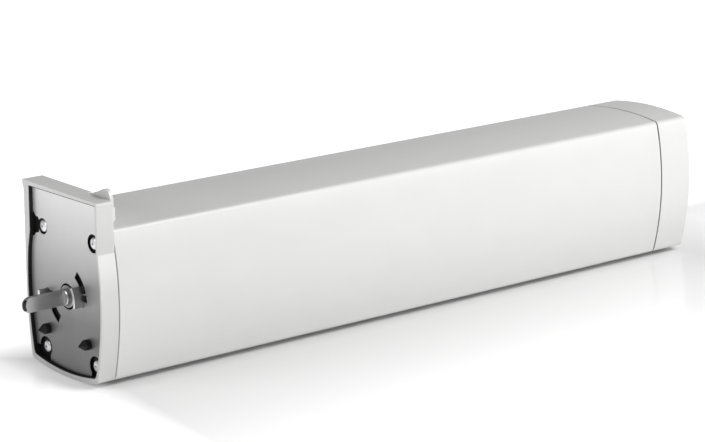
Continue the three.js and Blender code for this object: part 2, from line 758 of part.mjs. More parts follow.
// Flat bar with round ends and a boss that rests on the case's upper bush
function swingArm ({ x, towards }) {
  const half = ARM_WIDTH / 2
  const tip = x + towards * ARM_LENGTH
  const ends = [Math.min(x, tip), Math.max(x, tip)]
  const arc = (centre, start) => Array.from({ length: 11 }, (_, i) => {
    const angle = start + Math.PI * i / 10
    return [centre + half * Math.cos(angle), PIVOT_Y + half * Math.sin(angle)]
  })
  const outline = [...arc(ends[1], -Math.PI / 2), ...arc(ends[0], Math.PI / 2)]
  const boss = rodZ(x, PIVOT_Y, half, CASE_TOP + 3 * GAP + PLATE_STOCK + FLANGE, ARM_Z + 1)
  return prismZ(outline, ARM_Z, ARM_Z + ARM_THICKNESS).add(boss)
    .subtract(rodZ(x, PIVOT_Y, SPINDLE_RADIUS + GAP, 0, BLOCK_TOP))
    .subtract(rodZ(tip, PIVOT_Y, ROLLER_PIN_RADIUS + GAP, 0, BLOCK_TOP, 12))
}

function spindleNut ({ x }) {
  const from = ARM_Z + ARM_THICKNESS + GAP
  return rodZ(x, PIVOT_Y, SPINDLE_RADIUS + 3.5, from, from + 5, 6)
    .subtract(rodZ(x, PIVOT_Y, SPINDLE_RADIUS + GAP, 0, BLOCK_TOP))
}

function rollerPin ({ x, towards }) {
  const head = ROLLER_PIN_RADIUS + 1.5
  const low = ARM_Z - ROLLER_HEIGHT - 2 * GAP
  const high = ARM_Z + ARM_THICKNESS + GAP
  return turnedZ([
    [low - 1.2, 0],
    [low - 1.2, head],
    [low, head],
    [low, ROLLER_PIN_RADIUS],
    [high, ROLLER_PIN_RADIUS],
    [high, head],
    [high + 1.2, head - 0.6],
    [high + 1.2, 0]
  ], x + towards * ARM_LENGTH, PIVOT_Y, 16)
}

function armRoller ({ x, towards }) {
  const low = ARM_Z - GAP - ROLLER_HEIGHT
  const high = ARM_Z - GAP
  return turnedZ([
    [low, ROLLER_PIN_RADIUS + GAP],
    [low, ROLLER_RADIUS - 0.8],
    [low + 0.8, ROLLER_RADIUS],
    [high - 0.8, ROLLER_RADIUS],
    [high, ROLLER_RADIUS - 0.8],
    [high, ROLLER_PIN_RADIUS + GAP],
    [low, ROLLER_PIN_RADIUS + GAP]
  ], x + towards * ARM_LENGTH, PIVOT_Y)
}

// Release lever: a plate with a rounded thumb hump above the block and a small nub at its front edge
function releaseLever () {
  const outline = [
    [LEVER_FRONT, 104.4], [9, 104.4], [19, 107.5], [22, 113], [22, 119.7], [13.5, 122.8],
    [7.9, 125.3], [5.2, 125.9], [2.6, 125.3], [0.8, 123.4], [-0.2, 121], [LEVER_FRONT, 118]
  ]
  const to = LEVER_X + LEVER_THICKNESS
  const nub = box([to - 0.5, to + 1], [LEVER_FRONT, LEVER_FRONT + 3], [105.6, 114.6])
  return prismX(outline, LEVER_X, to).add(nub)
    .subtract(rodX(LEVER_PIVOT.y, LEVER_PIVOT.z, PIN_RADIUS + GAP, 0, to + 1, 12))
}

function leverPin () {
  const seat = LEVER_X + LEVER_THICKNESS + GAP
  return turnedX([
    [RECESS + GAP, 0],
    [RECESS + GAP, PIN_RADIUS],
    [seat, PIN_RADIUS],
    [seat, PIN_RADIUS + 1.4],
    [seat + 1, PIN_RADIUS + 1],
    [seat + 1, 0]
  ], LEVER_PIVOT.y, LEVER_PIVOT.z, 16)
}

// Assembly

const ENDS = ['front', 'rear']

function mesh (name, body, material) {
  const { vertProperties, triVerts } = body.getMesh()
  const geometry = new THREE.BufferGeometry()
  geometry.setAttribute('position', new THREE.Float32BufferAttribute(Array.from(vertProperties), 3))
  geometry.setIndex(Array.from(triVerts))
  const node = new THREE.Mesh(geometry, material)
  node.name = name
  return node
}

function crankEnd () {
  return [
    mesh('crank_end_frame', crankEndFrame(), SILVER()),
    mesh('end_cup', endCup(), BLACK()),
    mesh('crank_end_plate', crankEndPlate(), PLATE()),
    mesh('claw_bracket', clawBracket(), STEEL()),
    mesh('locating_stud_front', locatingStud(STUDS_Y[0]), BLACK()),
    mesh('locating_stud_rear', locatingStud(STUDS_Y[1]), BLACK()),
    mesh('input_bush', inputBush(), BRONZE()),
    mesh('release_lever', releaseLever(), SILVER()),
    mesh('lever_pin', leverPin(), BRIGHT()),
    ...CORNER_SCREWS.map(({ name, y, z }) =>
      mesh(`crank_end_screw_${name}`, screwX(y, z, PLATE_X, 1, END_SCREW_LENGTH), BRIGHT()))
  ]
}

function shell () {
  return [
    mesh('casing', casing(), SILVER()),
    mesh('arm_slot_liner', slotLiner(), BLACK()),
    mesh('far_end_cap', farEndCap(), SILVER()),
    ...CORNER_SCREWS.map(({ name, y, z }) =>
      mesh(`far_end_screw_${name}`, screwX(y, z, LENGTH - 0.4, -1, FAR_SCREW_LENGTH), BRIGHT()))
  ]
}

function railScrews (name, x) {
  const seat = CASE_FLOOR + PLATE_STOCK
  return RAIL_SCREWS_Y.map((y, i) =>
    mesh(`${name}_${ENDS[i]}`, screwZ(x, y, seat, SCREW_RADIUS, RAIL_SCREW_LENGTH), BRIGHT()))
}

function coverScrewSet (side, x, seat) {
  return coverScrews(x).map(([atX, atY], i) => {
    const body = screwZ(atX, atY, seat, COVER_SCREW_RADIUS, COVER_SCREW_LENGTH)
    return mesh(`cover_screw_${side}_${ENDS[i]}`, body, BRIGHT())
  })
}

function gearUnit (pivot) {
  const { side, x, towards } = pivot
  const floor = CASE_FLOOR + PLATE_STOCK
  const cover = CASE_TOP + GAP + PLATE_STOCK
  const wall = x + towards * (CASE_HALF - CASE_WALL)
  const bush = [wall - towards * (GAP + FLANGE), wall + towards * CASE_WALL].sort((a, b) => a - b)
  const spindleBore = SPINDLE_RADIUS + GAP
  return [
    mesh(`gear_case_${side}`, gearCase(pivot), ZINC()),
    mesh(`gear_cover_${side}`, gearCover(pivot), ZINC()),
    mesh(`worm_bush_${side}`,
      bushX(AXIS_Y, AXIS_Z, SHAFT_RADIUS + GAP, WORM_BUSH_RADIUS, ...bush, -towards), BRONZE()),
    mesh(`spindle_bush_lower_${side}`,
      bushZ(x, PIVOT_Y, spindleBore, SPINDLE_BUSH_RADIUS, CASE_FLOOR, floor + GAP + FLANGE), BRONZE()),
    mesh(`spindle_bush_upper_${side}`,
      bushZ(x, PIVOT_Y, spindleBore, SPINDLE_BUSH_RADIUS, CASE_TOP + GAP, cover + GAP + FLANGE), BRONZE()),
    ...railScrews(`case_screw_${side}`, caseScrewsX(pivot)),
    ...coverScrewSet(side, x, cover)
  ]
}

function armUnit (pivot) {
  return [
    mesh(`arm_wheel_${pivot.side}`, armWheel(pivot), BRONZE()),
    mesh(`arm_spindle_${pivot.side}`, armSpindle(pivot), STEEL()),
    mesh(`swing_arm_${pivot.side}`, swingArm(pivot), STEEL()),
    mesh(`spindle_nut_${pivot.side}`, spindleNut(pivot), BRIGHT()),
    mesh(`roller_pin_${pivot.side}`, rollerPin(pivot), BRIGHT()),
    mesh(`arm_roller_${pivot.side}`, armRoller(pivot), NYLON())
  ]
}

function driveLine () {
  return [
    mesh('crank_tang_shaft', crankTangShaft(), STEEL()),
    mesh('shaft_coupling', shaftCoupling(), STEEL()),
    mesh('drive_shaft', driveShaft(), STEEL()),
    ...PIVOTS.map(pivot => mesh(`worm_${pivot.side}`, worm(pivot), STEEL()))
  ]
}

function hanger () {
  return [
    mesh('shaft_hanger', shaftHanger(), NYLON()),
    ...railScrews('hanger_screw', HANGER_X)
  ]
}

// Moves everything so that the origin is the middle of the bounding box's underside
function settle (group) {
  const bounds = new THREE.Box3().setFromObject(group)
  const middle = bounds.getCenter(new THREE.Vector3())
  for (const node of group.children) node.geometry.translate(-middle.x, -middle.y, -bounds.min.z)
  return group
}

const operator = new THREE.Group()
operator.add(...crankEnd(), ...shell(), ...driveLine(), ...hanger())
operator.add(...PIVOTS.flatMap(gearUnit), ...PIVOTS.flatMap(armUnit))

export default settle(operator)
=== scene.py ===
"""Window crank operator: fine surfaces, materials, floor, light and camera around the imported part.

Metres in the row's frame. Section sizes are millimetres in the section frame: x from the outer face of
the crank end, y and z from the front lower corner line of the casing.
"""

import json
import math

import bmesh
import bpy
from mathutils import Matrix, Vector


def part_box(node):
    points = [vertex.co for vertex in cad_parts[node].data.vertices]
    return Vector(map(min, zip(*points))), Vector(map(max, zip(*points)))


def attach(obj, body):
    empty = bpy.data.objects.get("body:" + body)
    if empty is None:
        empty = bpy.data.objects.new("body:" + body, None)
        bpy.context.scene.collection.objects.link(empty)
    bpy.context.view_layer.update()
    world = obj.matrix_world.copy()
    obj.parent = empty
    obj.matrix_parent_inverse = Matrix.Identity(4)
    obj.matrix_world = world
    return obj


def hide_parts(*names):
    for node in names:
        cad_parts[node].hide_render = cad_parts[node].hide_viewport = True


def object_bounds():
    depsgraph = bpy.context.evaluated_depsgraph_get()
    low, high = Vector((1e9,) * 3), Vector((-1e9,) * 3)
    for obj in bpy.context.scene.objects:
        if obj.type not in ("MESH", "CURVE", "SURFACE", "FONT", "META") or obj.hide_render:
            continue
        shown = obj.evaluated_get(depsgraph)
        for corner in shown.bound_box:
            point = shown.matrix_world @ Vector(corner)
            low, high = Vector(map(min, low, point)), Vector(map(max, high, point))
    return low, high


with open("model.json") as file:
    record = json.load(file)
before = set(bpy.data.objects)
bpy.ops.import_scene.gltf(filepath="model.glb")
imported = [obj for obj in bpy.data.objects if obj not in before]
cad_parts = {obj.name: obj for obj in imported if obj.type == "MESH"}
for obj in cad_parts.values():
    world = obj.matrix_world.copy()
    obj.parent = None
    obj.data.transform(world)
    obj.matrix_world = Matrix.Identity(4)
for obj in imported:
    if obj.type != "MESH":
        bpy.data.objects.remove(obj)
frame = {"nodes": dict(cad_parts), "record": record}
cad_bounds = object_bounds()

MM = 0.001

# The casing's section: how far each side bows out past the line between its corners, corners and wall
BULGE = {"bottom": 3.9, "back": 4.7, "top": 3.2, "front": 6.9}
CORNER_RADIUS = 2.6
INNER_CORNER = 1.0
WALL = 2.2

# Gap round screws, shafts and inserts; width of the seams; rounding of the rims at the seams and the far end
GAP = 0.3
SEAM = 0.8
SEAM_RIM = 0.45
CAP_RIM = 1.2

# Rails and screw ports inside the casing, which stop short of its ends, and the floor that closes the cap
RAIL = {"reach": 11.0, "thickness": 2.0}
PORT_RADIUS = {"casing": 5.0, "cap": 5.6}
SHORT_OF_END = 1
CAP_FLOOR = 3

# Steps along a bowed side, a rounded corner and a round end
SIDE_STEPS = 28
CORNER_STEPS = 6
END_STEPS = 24

# Share of a bowed side that the rounding of its corner takes, generally and on the block's upright sides
CORNER_SHARE = 0.03
UPRIGHT_SHARE = 0.025

# The squared block of the crank end, thicker above the casing, with a rebate for the release lever
CREASE_Z = 86
BLOCK_FOOT = 104.3
BLOCK_CORNER = 2.4
LEVER_INSET = 2.7
REBATE_FLOOR = 12.3
REBATE_SIDE = 25.2
SHAFT_HOLE = 9.3

# The lip on the block's back: how far it stands out at its turn and its end, and how far below the block's
# top it starts, turns and ends
LIP = {"depth": 1.9, "turn_depth": 0.76, "start": 7, "turn": 4.5, "end": 1.6}

# The recess in the crank end's outer face and the rim round it. Its back bows out for a share of the height
# and then runs straight up; its top drops from the block's top and rises towards the front.
RIM = {"front": 1.9, "bottom": 3.1, "back": 2.2}
RECESS = {"depth": 8, "bulge": BULGE["back"] + 0.6, "bowed": 0.74, "rear": 75.3, "drop": 2.8, "rise": 1}

# The black cup in the recess: gap and wall round its sides, and its floor in front of the claws' ring
CUP_FIT = 0.2
CUP_WALL = 0.3
CUP_SKIN = 1

# The sheet plate: thickness, pockets round the lower screws and notch in to the upper rear one
SHEET = 0.5
POCKET = {"radius": 7, "reach": 5}
NOTCH = {"half": 5.5, "flare": 3, "depth": 4.1, "corner": 0.8}
STUD_HOLE = 2.3

# Round openings for the two upper screws: radius of the hole, and of the dimple round it at the plate's face
DIMPLES = {
    "top_front": {"hole": 6.2, "wide": 8.7},
    "top_rear": {"hole": 5.3, "wide": 6.4},
}
DIMPLE_DEPTH = 0.4

# Cuts in the end plate round the crank axis: radii in millimetres, angles in degrees from -Y towards +Z
SLOTS = [
    {"inner": 16.8, "outer": 22.4, "start": 1.5, "end": 59},
    {"inner": 16.8, "outer": 19.2, "start": -11, "end": 2},
    {"inner": 17.0, "outer": 23.4, "start": 180.5, "end": 240.5},
    {"inner": 22.0, "outer": 24.7, "start": 178, "end": 207},
]
BRIDGE = {"inner": 19.3, "outer": 22.8, "start": 14.5, "end": 17.5}
CLAWS = [
    {"inner": 17.1, "outer": 18.9, "start": -9, "end": 34},
    {"inner": 22.3, "outer": 24.4, "start": 179, "end": 205},
]

# The crank blade, the boss and stub on its axis, and the grooved hub disc that stands proud of the plate
BLADE = {"height": 10.5, "thickness": 3.3, "chamfer": 2.2, "chamfer_depth": 1.1, "edge": 0.35}
BOSS = {"radius": 5.6, "length": 3, "edge": 0.5}
STUB_RADIUS = 5.0
HUB = {"radius": 7.4, "hole": 8.7, "proud": 0.6, "rim": 0.8, "groove": 0.8}

# Screws, studs and the lever's pin
SCREW_RADIUS = 2
HEAD_HEIGHT = 2
HEAD_FLARE = 0.5
CROSS = {"half": (0.35, 1.0), "depth": 1.5}
STUD_CONE = 0.55
PIN_OVERHANG = 1.4
LEVER_HOLE = 2.3

# The slot's edging, and the rounding of its upright corners
EDGING_WALL = 1.4
SLOT_CORNER = {"casing": 2.0, "edging": 1.8, "opening": 1.0}

# Swing arms: thickness and holes, and the groove that stops short of the pivot and the tip
ARM = {"thickness": 4.0, "pivot_hole": 5.3, "tip_hole": 2.8}
GROOVE = {"radius": 3.2, "depth": 0.7, "from_pivot": 18, "from_tip": 16}

# Rounding of the edges that are softened
EDGE = {"frame": 0.5, "plate": 0.1, "claws": 0.2, "lever": 0.7, "edging": 0.25, "arm": 0.4, "nut": 0.15,
        "cad": 0.12}

# How far a cutting or joining solid reaches past the surface that it meets
PAST = 1

# A face looks along an axis when its normal has at least this share along it
FACING = 0.5

# Camera: point it looks at in the section frame, angles in degrees, distance in metres, lens in millimetres
CAMERA = {"aim": (245.64, 42.03, 58.58), "azimuth": -39.436, "elevation": 14.733, "distance": 1.8774,
          "lens": 136.45}

SLOT_OF = {part["node"]: part["material_slot"] for part in frame["record"]["subparts"]}
BODY_OF = {
    node: body
    for body, nodes in frame["record"]["behaviour"]["bodies"].items()
    for node in nodes
}


# ---- the section frame ----

def section_origin():
    """The front lower corner line of the casing, at the outer face of the crank end."""
    casing_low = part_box("casing")[0]
    end_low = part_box("crank_end_frame")[0]
    return Vector((end_low.x, casing_low.y + BULGE["front"] * MM, casing_low.z + BULGE["bottom"] * MM))


ORIGIN = section_origin()


def place(x, y, z):
    """A point of the section frame, in metres in the row's frame."""
    return ORIGIN + Vector((x, y, z)) * MM


def span(node):
    """Lowest and highest corner of a CAD node, in millimetres in the section frame."""
    low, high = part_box(node)
    return (low - ORIGIN) / MM, (high - ORIGIN) / MM


def centre(node):
    low, high = span(node)
    return (low + high) / 2


def half_size(node):
    low, high = span(node)
    return (high - low) / 2


CASING = span("casing")
CAP = span("far_end_cap")
END_FRAME = span("crank_end_frame")
PLATE = span("crank_end_plate")
AXIS = centre("drive_shaft")
DEPTH = CASING[1].y - BULGE["back"]
HEIGHT = CASING[1].z - BULGE["top"]
BLOCK_TOP = END_FRAME[1].z
BLOCK_BACK = END_FRAME[1].y
BLOCK_FRONT = span("release_lever")[0].y - LEVER_INSET
FRAME_END = CASING[0].x - SEAM
CUP_FLOOR = PLATE[0].x + HEAD_HEIGHT + GAP
CREASE_FROM_TOP = 1 - CREASE_Z / HEIGHT
CORNERS = {
    name: centre(f"crank_end_screw_{name}")
    for name in ("top_front", "top_rear", "bottom_front", "bottom_rear")
}
STUDS = ("front", "rear")


# ---- outlines: (y, z) points in the section frame ----

def bowed_side(a, b, bulge, start, end, steps=SIDE_STEPS):
    """Points of an arc that bows out to the right of the way from a to b, over a share of its length."""
    length = math.hypot(b[0] - a[0], b[1] - a[1])
    along = ((b[0] - a[0]) / length, (b[1] - a[1]) / length)
    radius = (length * length / 4 + bulge * bulge) / (2 * bulge)
    points = []
    for step in range(steps + 1):
        reach = (start + (end - start) * step / steps - 0.5) * length
        out = math.sqrt(radius * radius - reach * reach) - (radius - bulge)
        points.append((
            (a[0] + b[0]) / 2 + along[0] * reach + along[1] * out,
            (a[1] + b[1]) / 2 + along[1] * reach - along[0] * out,
        ))
    return points


def rounded(before, corner, after, steps=CORNER_STEPS):
    """Points between before and after on a smooth curve that turns at corner, without its ends."""
    points = []
    for step in range(1, steps):
        t = step / steps
        weights = ((1 - t) ** 2, 2 * t * (1 - t), t ** 2)
        points.append(tuple(
            sum(weight * point[k] for weight, point in zip(weights, (before, corner, after)))
            for k in (0, 1)
        ))
    return points


def rounded_outline(stretches):
    """Joins stretches of points, rounding the corner given after each one."""
    outline = []
    for index, (points, corner) in enumerate(stretches):
        following = stretches[(index + 1) % len(stretches)][0]
        outline.extend(points)
        if corner is not None:
            outline.extend(rounded(points[-1], corner, following[0]))
    return outline


def casing_section(inset, radius=CORNER_RADIUS):
    """The casing's barrel-shaped section, drawn in by inset."""
    corners = [
        (inset, inset),
        (DEPTH - inset, inset),
        (DEPTH - inset, HEIGHT - inset),
        (inset, HEIGHT - inset),
    ]
    stretches = []
    for index, bulge in enumerate(BULGE.values()):
        a = corners[index]
        b = corners[(index + 1) % 4]
        share = radius / math.dist(a, b)
        stretches.append((bowed_side(a, b, bulge, share, 1 - share), b))
    return rounded_outline(stretches)


def block_section():
    """The crank end follows the casing's section up to a squared block with a lip along its flat back."""
    bottom = bowed_side((0, 0), (DEPTH, 0), BULGE["bottom"], CORNER_SHARE, 1 - CORNER_SHARE)
    back = bowed_side((DEPTH, 0), (DEPTH, HEIGHT), BULGE["back"], UPRIGHT_SHARE, 0.5, SIDE_STEPS // 2)
    front = bowed_side((0, HEIGHT), (0, 0), BULGE["front"], CREASE_FROM_TOP, 1 - UPRIGHT_SHARE)
    flat = BLOCK_BACK - LIP["depth"]
    return rounded_outline([
        (bottom, (DEPTH, 0)),
        (back, None),
        ([(flat, BLOCK_TOP - LIP["start"]), (flat + LIP["turn_depth"], BLOCK_TOP - LIP["turn"])], None),
        ([(BLOCK_BACK, BLOCK_TOP - LIP["end"]), (BLOCK_BACK, BLOCK_TOP)], None),
        ([(BLOCK_FRONT + BLOCK_CORNER, BLOCK_TOP)], (BLOCK_FRONT, BLOCK_TOP)),
        ([(BLOCK_FRONT, BLOCK_TOP - BLOCK_CORNER)], None),
        (front, (0, 0)),
    ])


def recess_section(inset=0.0):
    """Opening in the crank end's outer face: a thin rim below, a thicker one behind the block."""
    low = RIM["bottom"] + inset
    near = RIM["front"] + inset
    far = DEPTH - RIM["back"] - inset
    rear = RECESS["rear"] - inset
    top = BLOCK_TOP - RECESS["drop"] - inset
    bottom = bowed_side((near, low), (far, low), BULGE["bottom"], CORNER_SHARE, 1 - CORNER_SHARE)
    bowed = (CORNER_SHARE, RECESS["bowed"])
    back = bowed_side((far, low), (far, HEIGHT), RECESS["bulge"], *bowed, SIDE_STEPS // 2)
    front = bowed_side((near, HEIGHT), (near, low), BULGE["front"], CREASE_FROM_TOP, 1 - CORNER_SHARE)
    return rounded_outline([
        (bottom, (far, low)),
        (back, None),
        ([(rear, CREASE_Z + RECESS["rise"]), (rear, top)], None),
        ([(BLOCK_FRONT + near, top + RECESS["rise"])], None),
        (front, (near, low)),
    ])


def sector(inner, outer, start, end, steps=END_STEPS):
    """Arc between two radii about the crank axis."""
    def at(radius, step):
        angle = math.radians(start + (end - start) * step / steps)
        return AXIS.y - radius * math.cos(angle), AXIS.z + radius * math.sin(angle)
    inward = [at(inner, step) for step in range(steps + 1)]
    outward = [at(outer, step) for step in reversed(range(steps + 1))]
    return inward + outward


def ring(a, b, radius, sides=64):
    """Circle about the point (a, b)."""
    turns = [2 * math.pi * i / sides for i in range(sides)]
    return [(a + radius * math.cos(turn), b + radius * math.sin(turn)) for turn in turns]


def round_ended(low, high, y, radius, steps):
    """(x, y) outline of a bar along x whose ends are half circles about low and high."""
    outline = []
    for middle, start in ((high, -math.pi / 2), (low, math.pi / 2)):
        for i in range(steps + 1):
            angle = start + math.pi * i / steps
            outline.append((middle + radius * math.cos(angle), y + radius * math.sin(angle)))
    return outline


# ---- solids ----

def new_object(name, mesh_data):
    piece = bpy.data.objects.new(name, mesh_data)
    bpy.context.scene.collection.objects.link(piece)
    return piece


def from_bmesh(name, bm):
    """Makes an object of the built mesh, with its faces turned outwards."""
    bmesh.ops.recalc_face_normals(bm, faces=bm.faces)
    mesh_data = bpy.data.meshes.new(name)
    bm.to_mesh(mesh_data)
    bm.free()
    return new_object(name, mesh_data)


def point_on(axis, height, a, b):
    """The point at a height along one axis; a and b are its other two coordinates, in order."""
    coordinates = {"x": (height, a, b), "y": (a, height, b), "z": (a, b, height)}
    return place(*coordinates[axis])


def from_rings(name, rings, axis="x"):
    """A closed solid through rings of equal point count, each ring (height, points), capped at both ends."""
    bm = bmesh.new()
    loops = [[bm.verts.new(point_on(axis, height, a, b)) for a, b in points] for height, points in rings]
    count = len(loops[0])
    for lower, upper in zip(loops, loops[1:]):
        for i in range(count):
            j = (i + 1) % count
            bm.faces.new((lower[i], lower[j], upper[j], upper[i]))
    bm.faces.new(reversed(loops[0]))
    bm.faces.new(loops[-1])
    return from_bmesh(name, bm)


def prism_x(name, points, low, high):
    """A (y, z) outline carried along x."""
    return from_rings(name, [(low, points), (high, points)])


def rod(point, radius, low, high, sides=64):
    """A round rod along x through a point."""
    return prism_x("rod", ring(point.y, point.z, radius, sides), low, high)


def prism_z(name, points, low, high):
    """An (x, y) outline carried upwards."""
    return from_rings(name, [(low, points), (high, points)], "z")


def block(name, low, high):
    """A box between two corners."""
    outline = [(low[0], low[1]), (high[0], low[1]), (high[0], high[1]), (low[0], high[1])]
    return prism_z(name, outline, low[2], high[2])


def turned(name, profile, a, b, axis="x", sides=48):
    """A profile of (height, radius) points turned about a line along the axis; radius 0 closes an end."""
    bm = bmesh.new()
    loops = []
    for height, radius in profile:
        circle = [(a, b)] if radius == 0 else ring(a, b, radius, sides)
        loops.append([bm.verts.new(point_on(axis, height, u, v)) for u, v in circle])
    following = loops[1:] + loops[:1] if profile[0][1] else loops[1:]
    for lower, upper in zip(loops, following):
        for i in range(sides):
            j = (i + 1) % sides
            corners = [loop[k % len(loop)] for loop, k in ((lower, i), (lower, j), (upper, j), (upper, i))]
            bm.faces.new(list(dict.fromkeys(corners)))
    return from_bmesh(name, bm)


def settle_modifiers(piece):
    """Replaces the piece's mesh by its evaluated one."""
    graph = bpy.context.evaluated_depsgraph_get()
    final = bpy.data.meshes.new_from_object(piece.evaluated_get(graph))
    piece.modifiers.clear()
    piece.data = final


def combine(piece, operation, tools):
    """Applies one boolean operation with each tool in turn, and removes the tools."""
    for tool in tools:
        modifier = piece.modifiers.new(operation, "BOOLEAN")
        modifier.operation = operation
        modifier.solver = "EXACT"
        modifier.object = tool
    settle_modifiers(piece)
    for tool in tools:
        bpy.data.objects.remove(tool)
    return piece


def cut(piece, *tools):
    return combine(piece, "DIFFERENCE", tools)


def join(piece, *tools):
    return combine(piece, "UNION", tools)


def round_upright_edges(piece, radius, direction, segments=4, least_angle=30):
    """Rounds the sharp edges that run along one direction, before the rims are softened."""
    bm = bmesh.new()
    bm.from_mesh(piece.data)
    bmesh.ops.remove_doubles(bm, verts=bm.verts, dist=0.01 * MM)
    edges = [
        edge for edge in bm.edges
        if len(edge.link_faces) == 2
        and abs((edge.verts[1].co - edge.verts[0].co).normalized().dot(direction)) > 0.99
        and edge.calc_face_angle() > math.radians(least_angle)
    ]
    bmesh.ops.bevel(bm, geom=edges, offset=radius * MM, segments=segments, profile=0.5, affect="EDGES",
                    clamp_overlap=True)
    bm.to_mesh(piece.data)
    bm.free()
    return piece


def soften(piece, width, segments=3, angle=35):
    """Rounds every sharp edge by width millimetres and shades the rest smooth."""
    bevel = piece.modifiers.new("soft edges", "BEVEL")
    bevel.width = width * MM
    bevel.segments = segments
    bevel.limit_method = "ANGLE"
    bevel.angle_limit = math.radians(angle)
    settle_modifiers(piece)
    return shade(piece)


def shade(piece, angle=38):
    """Smooth shading with flat faces kept flat."""
    for polygon in piece.data.polygons:
        polygon.use_smooth = True
    piece.data.set_sharp_from_angle(angle=math.radians(angle))
    weighted = piece.modifiers.new("flat faces", "WEIGHTED_NORMAL")
    weighted.keep_sharp = True
    weighted.weight = 100
    return piece


def fit(piece, *nodes, coat=None):
    """Makes the piece stand for CAD nodes of one body and gives it their material slot."""
    slot = SLOT_OF[nodes[0]]
    piece.data.materials.clear()
    piece.data.materials.append(coat or MATERIALS[slot])
    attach(piece, BODY_OF[nodes[0]])
    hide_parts(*nodes)
    return piece


def recoat(piece, material, test):
    """Gives the piece a second material on the faces whose middle and normal pass the test."""
    piece.data.materials.append(material)
    for polygon in piece.data.polygons:
        if test(polygon.center, polygon.normal):
            polygon.material_index = 1


# ---- materials ----

def add_node(tree, kind, inputs=None, **settings):
    node = tree.nodes.new(kind)
    for name, value in settings.items():
        setattr(node, name, value)
    for name, value in (inputs or {}).items():
        if isinstance(value, bpy.types.NodeSocket):
            tree.links.new(value, node.inputs[name])
        else:
            node.inputs[name].default_value = value
    return node


def grey(value, tint=(1.0, 1.0, 1.0)):
    return (value * tint[0], value * tint[1], value * tint[2], 1.0)


def stretched(tree, scale):
    """Object coordinates scaled per axis, in turns per metre."""
    coordinates = add_node(tree, "ShaderNodeTexCoord")
    return add_node(tree, "ShaderNodeMapping", {
        "Vector": coordinates.outputs["Object"],
        "Scale": scale,
    }).outputs["Vector"]


def noise(tree, scale, detail=4.0, roughness=0.6):
    return add_node(tree, "ShaderNodeTexNoise", {
        "Vector": stretched(tree, scale),
        "Scale": 1.0,
        "Detail": detail,
        "Roughness": roughness,
    }).outputs["Fac"]


def ramp(tree, value, low, high, to_low, to_high):
    return add_node(tree, "ShaderNodeMapRange", {
        "Value": value,
        "From Min": low,
        "From Max": high,
        "To Min": to_low,
        "To Max": to_high,
    }).outputs["Result"]


def mix(tree, share, a, b, blend="MIX"):
    node = tree.nodes.new("ShaderNodeMix")
    node.data_type = "RGBA"
    node.blend_type = blend
    for socket, value in ((node.inputs[0], share), (node.inputs[6], a), (node.inputs[7], b)):
        if isinstance(value, bpy.types.NodeSocket):
            tree.links.new(value, socket)
        else:
            socket.default_value = value
    return node.outputs[2]


def wear_and_highlight_mask(tree, radius):
    """1 along sharp edges and 0 on the flats; it places the brighter edge colour, partly wear and partly
    painted highlight.
    """
    soft = add_node(tree, "ShaderNodeBevel", {"Radius": radius * MM}, samples=4).outputs["Normal"]
    true = add_node(tree, "ShaderNodeNewGeometry").outputs["Normal"]
    dot = add_node(tree, "ShaderNodeVectorMath", operation="DOT_PRODUCT")
    tree.links.new(soft, dot.inputs[0])
    tree.links.new(true, dot.inputs[1])
    return ramp(tree, dot.outputs["Value"], 0.985, 0.8, 0.0, 1.0)


def painted_shading_by_height(tree, node, stops):
    """Grey that changes with height over a CAD node, painted over a surface as light and shade; stops are
    (share of its height, grey).
    """
    low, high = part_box(node)
    position = stretched(tree, (1.0, 1.0, 1.0))
    height = add_node(tree, "ShaderNodeSeparateXYZ", {"Vector": position}).outputs["Z"]
    gradient = add_node(tree, "ShaderNodeValToRGB", {"Fac": ramp(tree, height, low.z, high.z, 0.0, 1.0)})
    elements = gradient.color_ramp.elements
    while len(elements) < len(stops):
        elements.new(0.5)
    for element, (share, tone) in zip(elements, stops):
        element.position = share
        element.color = grey(tone)
    return gradient.outputs["Color"]


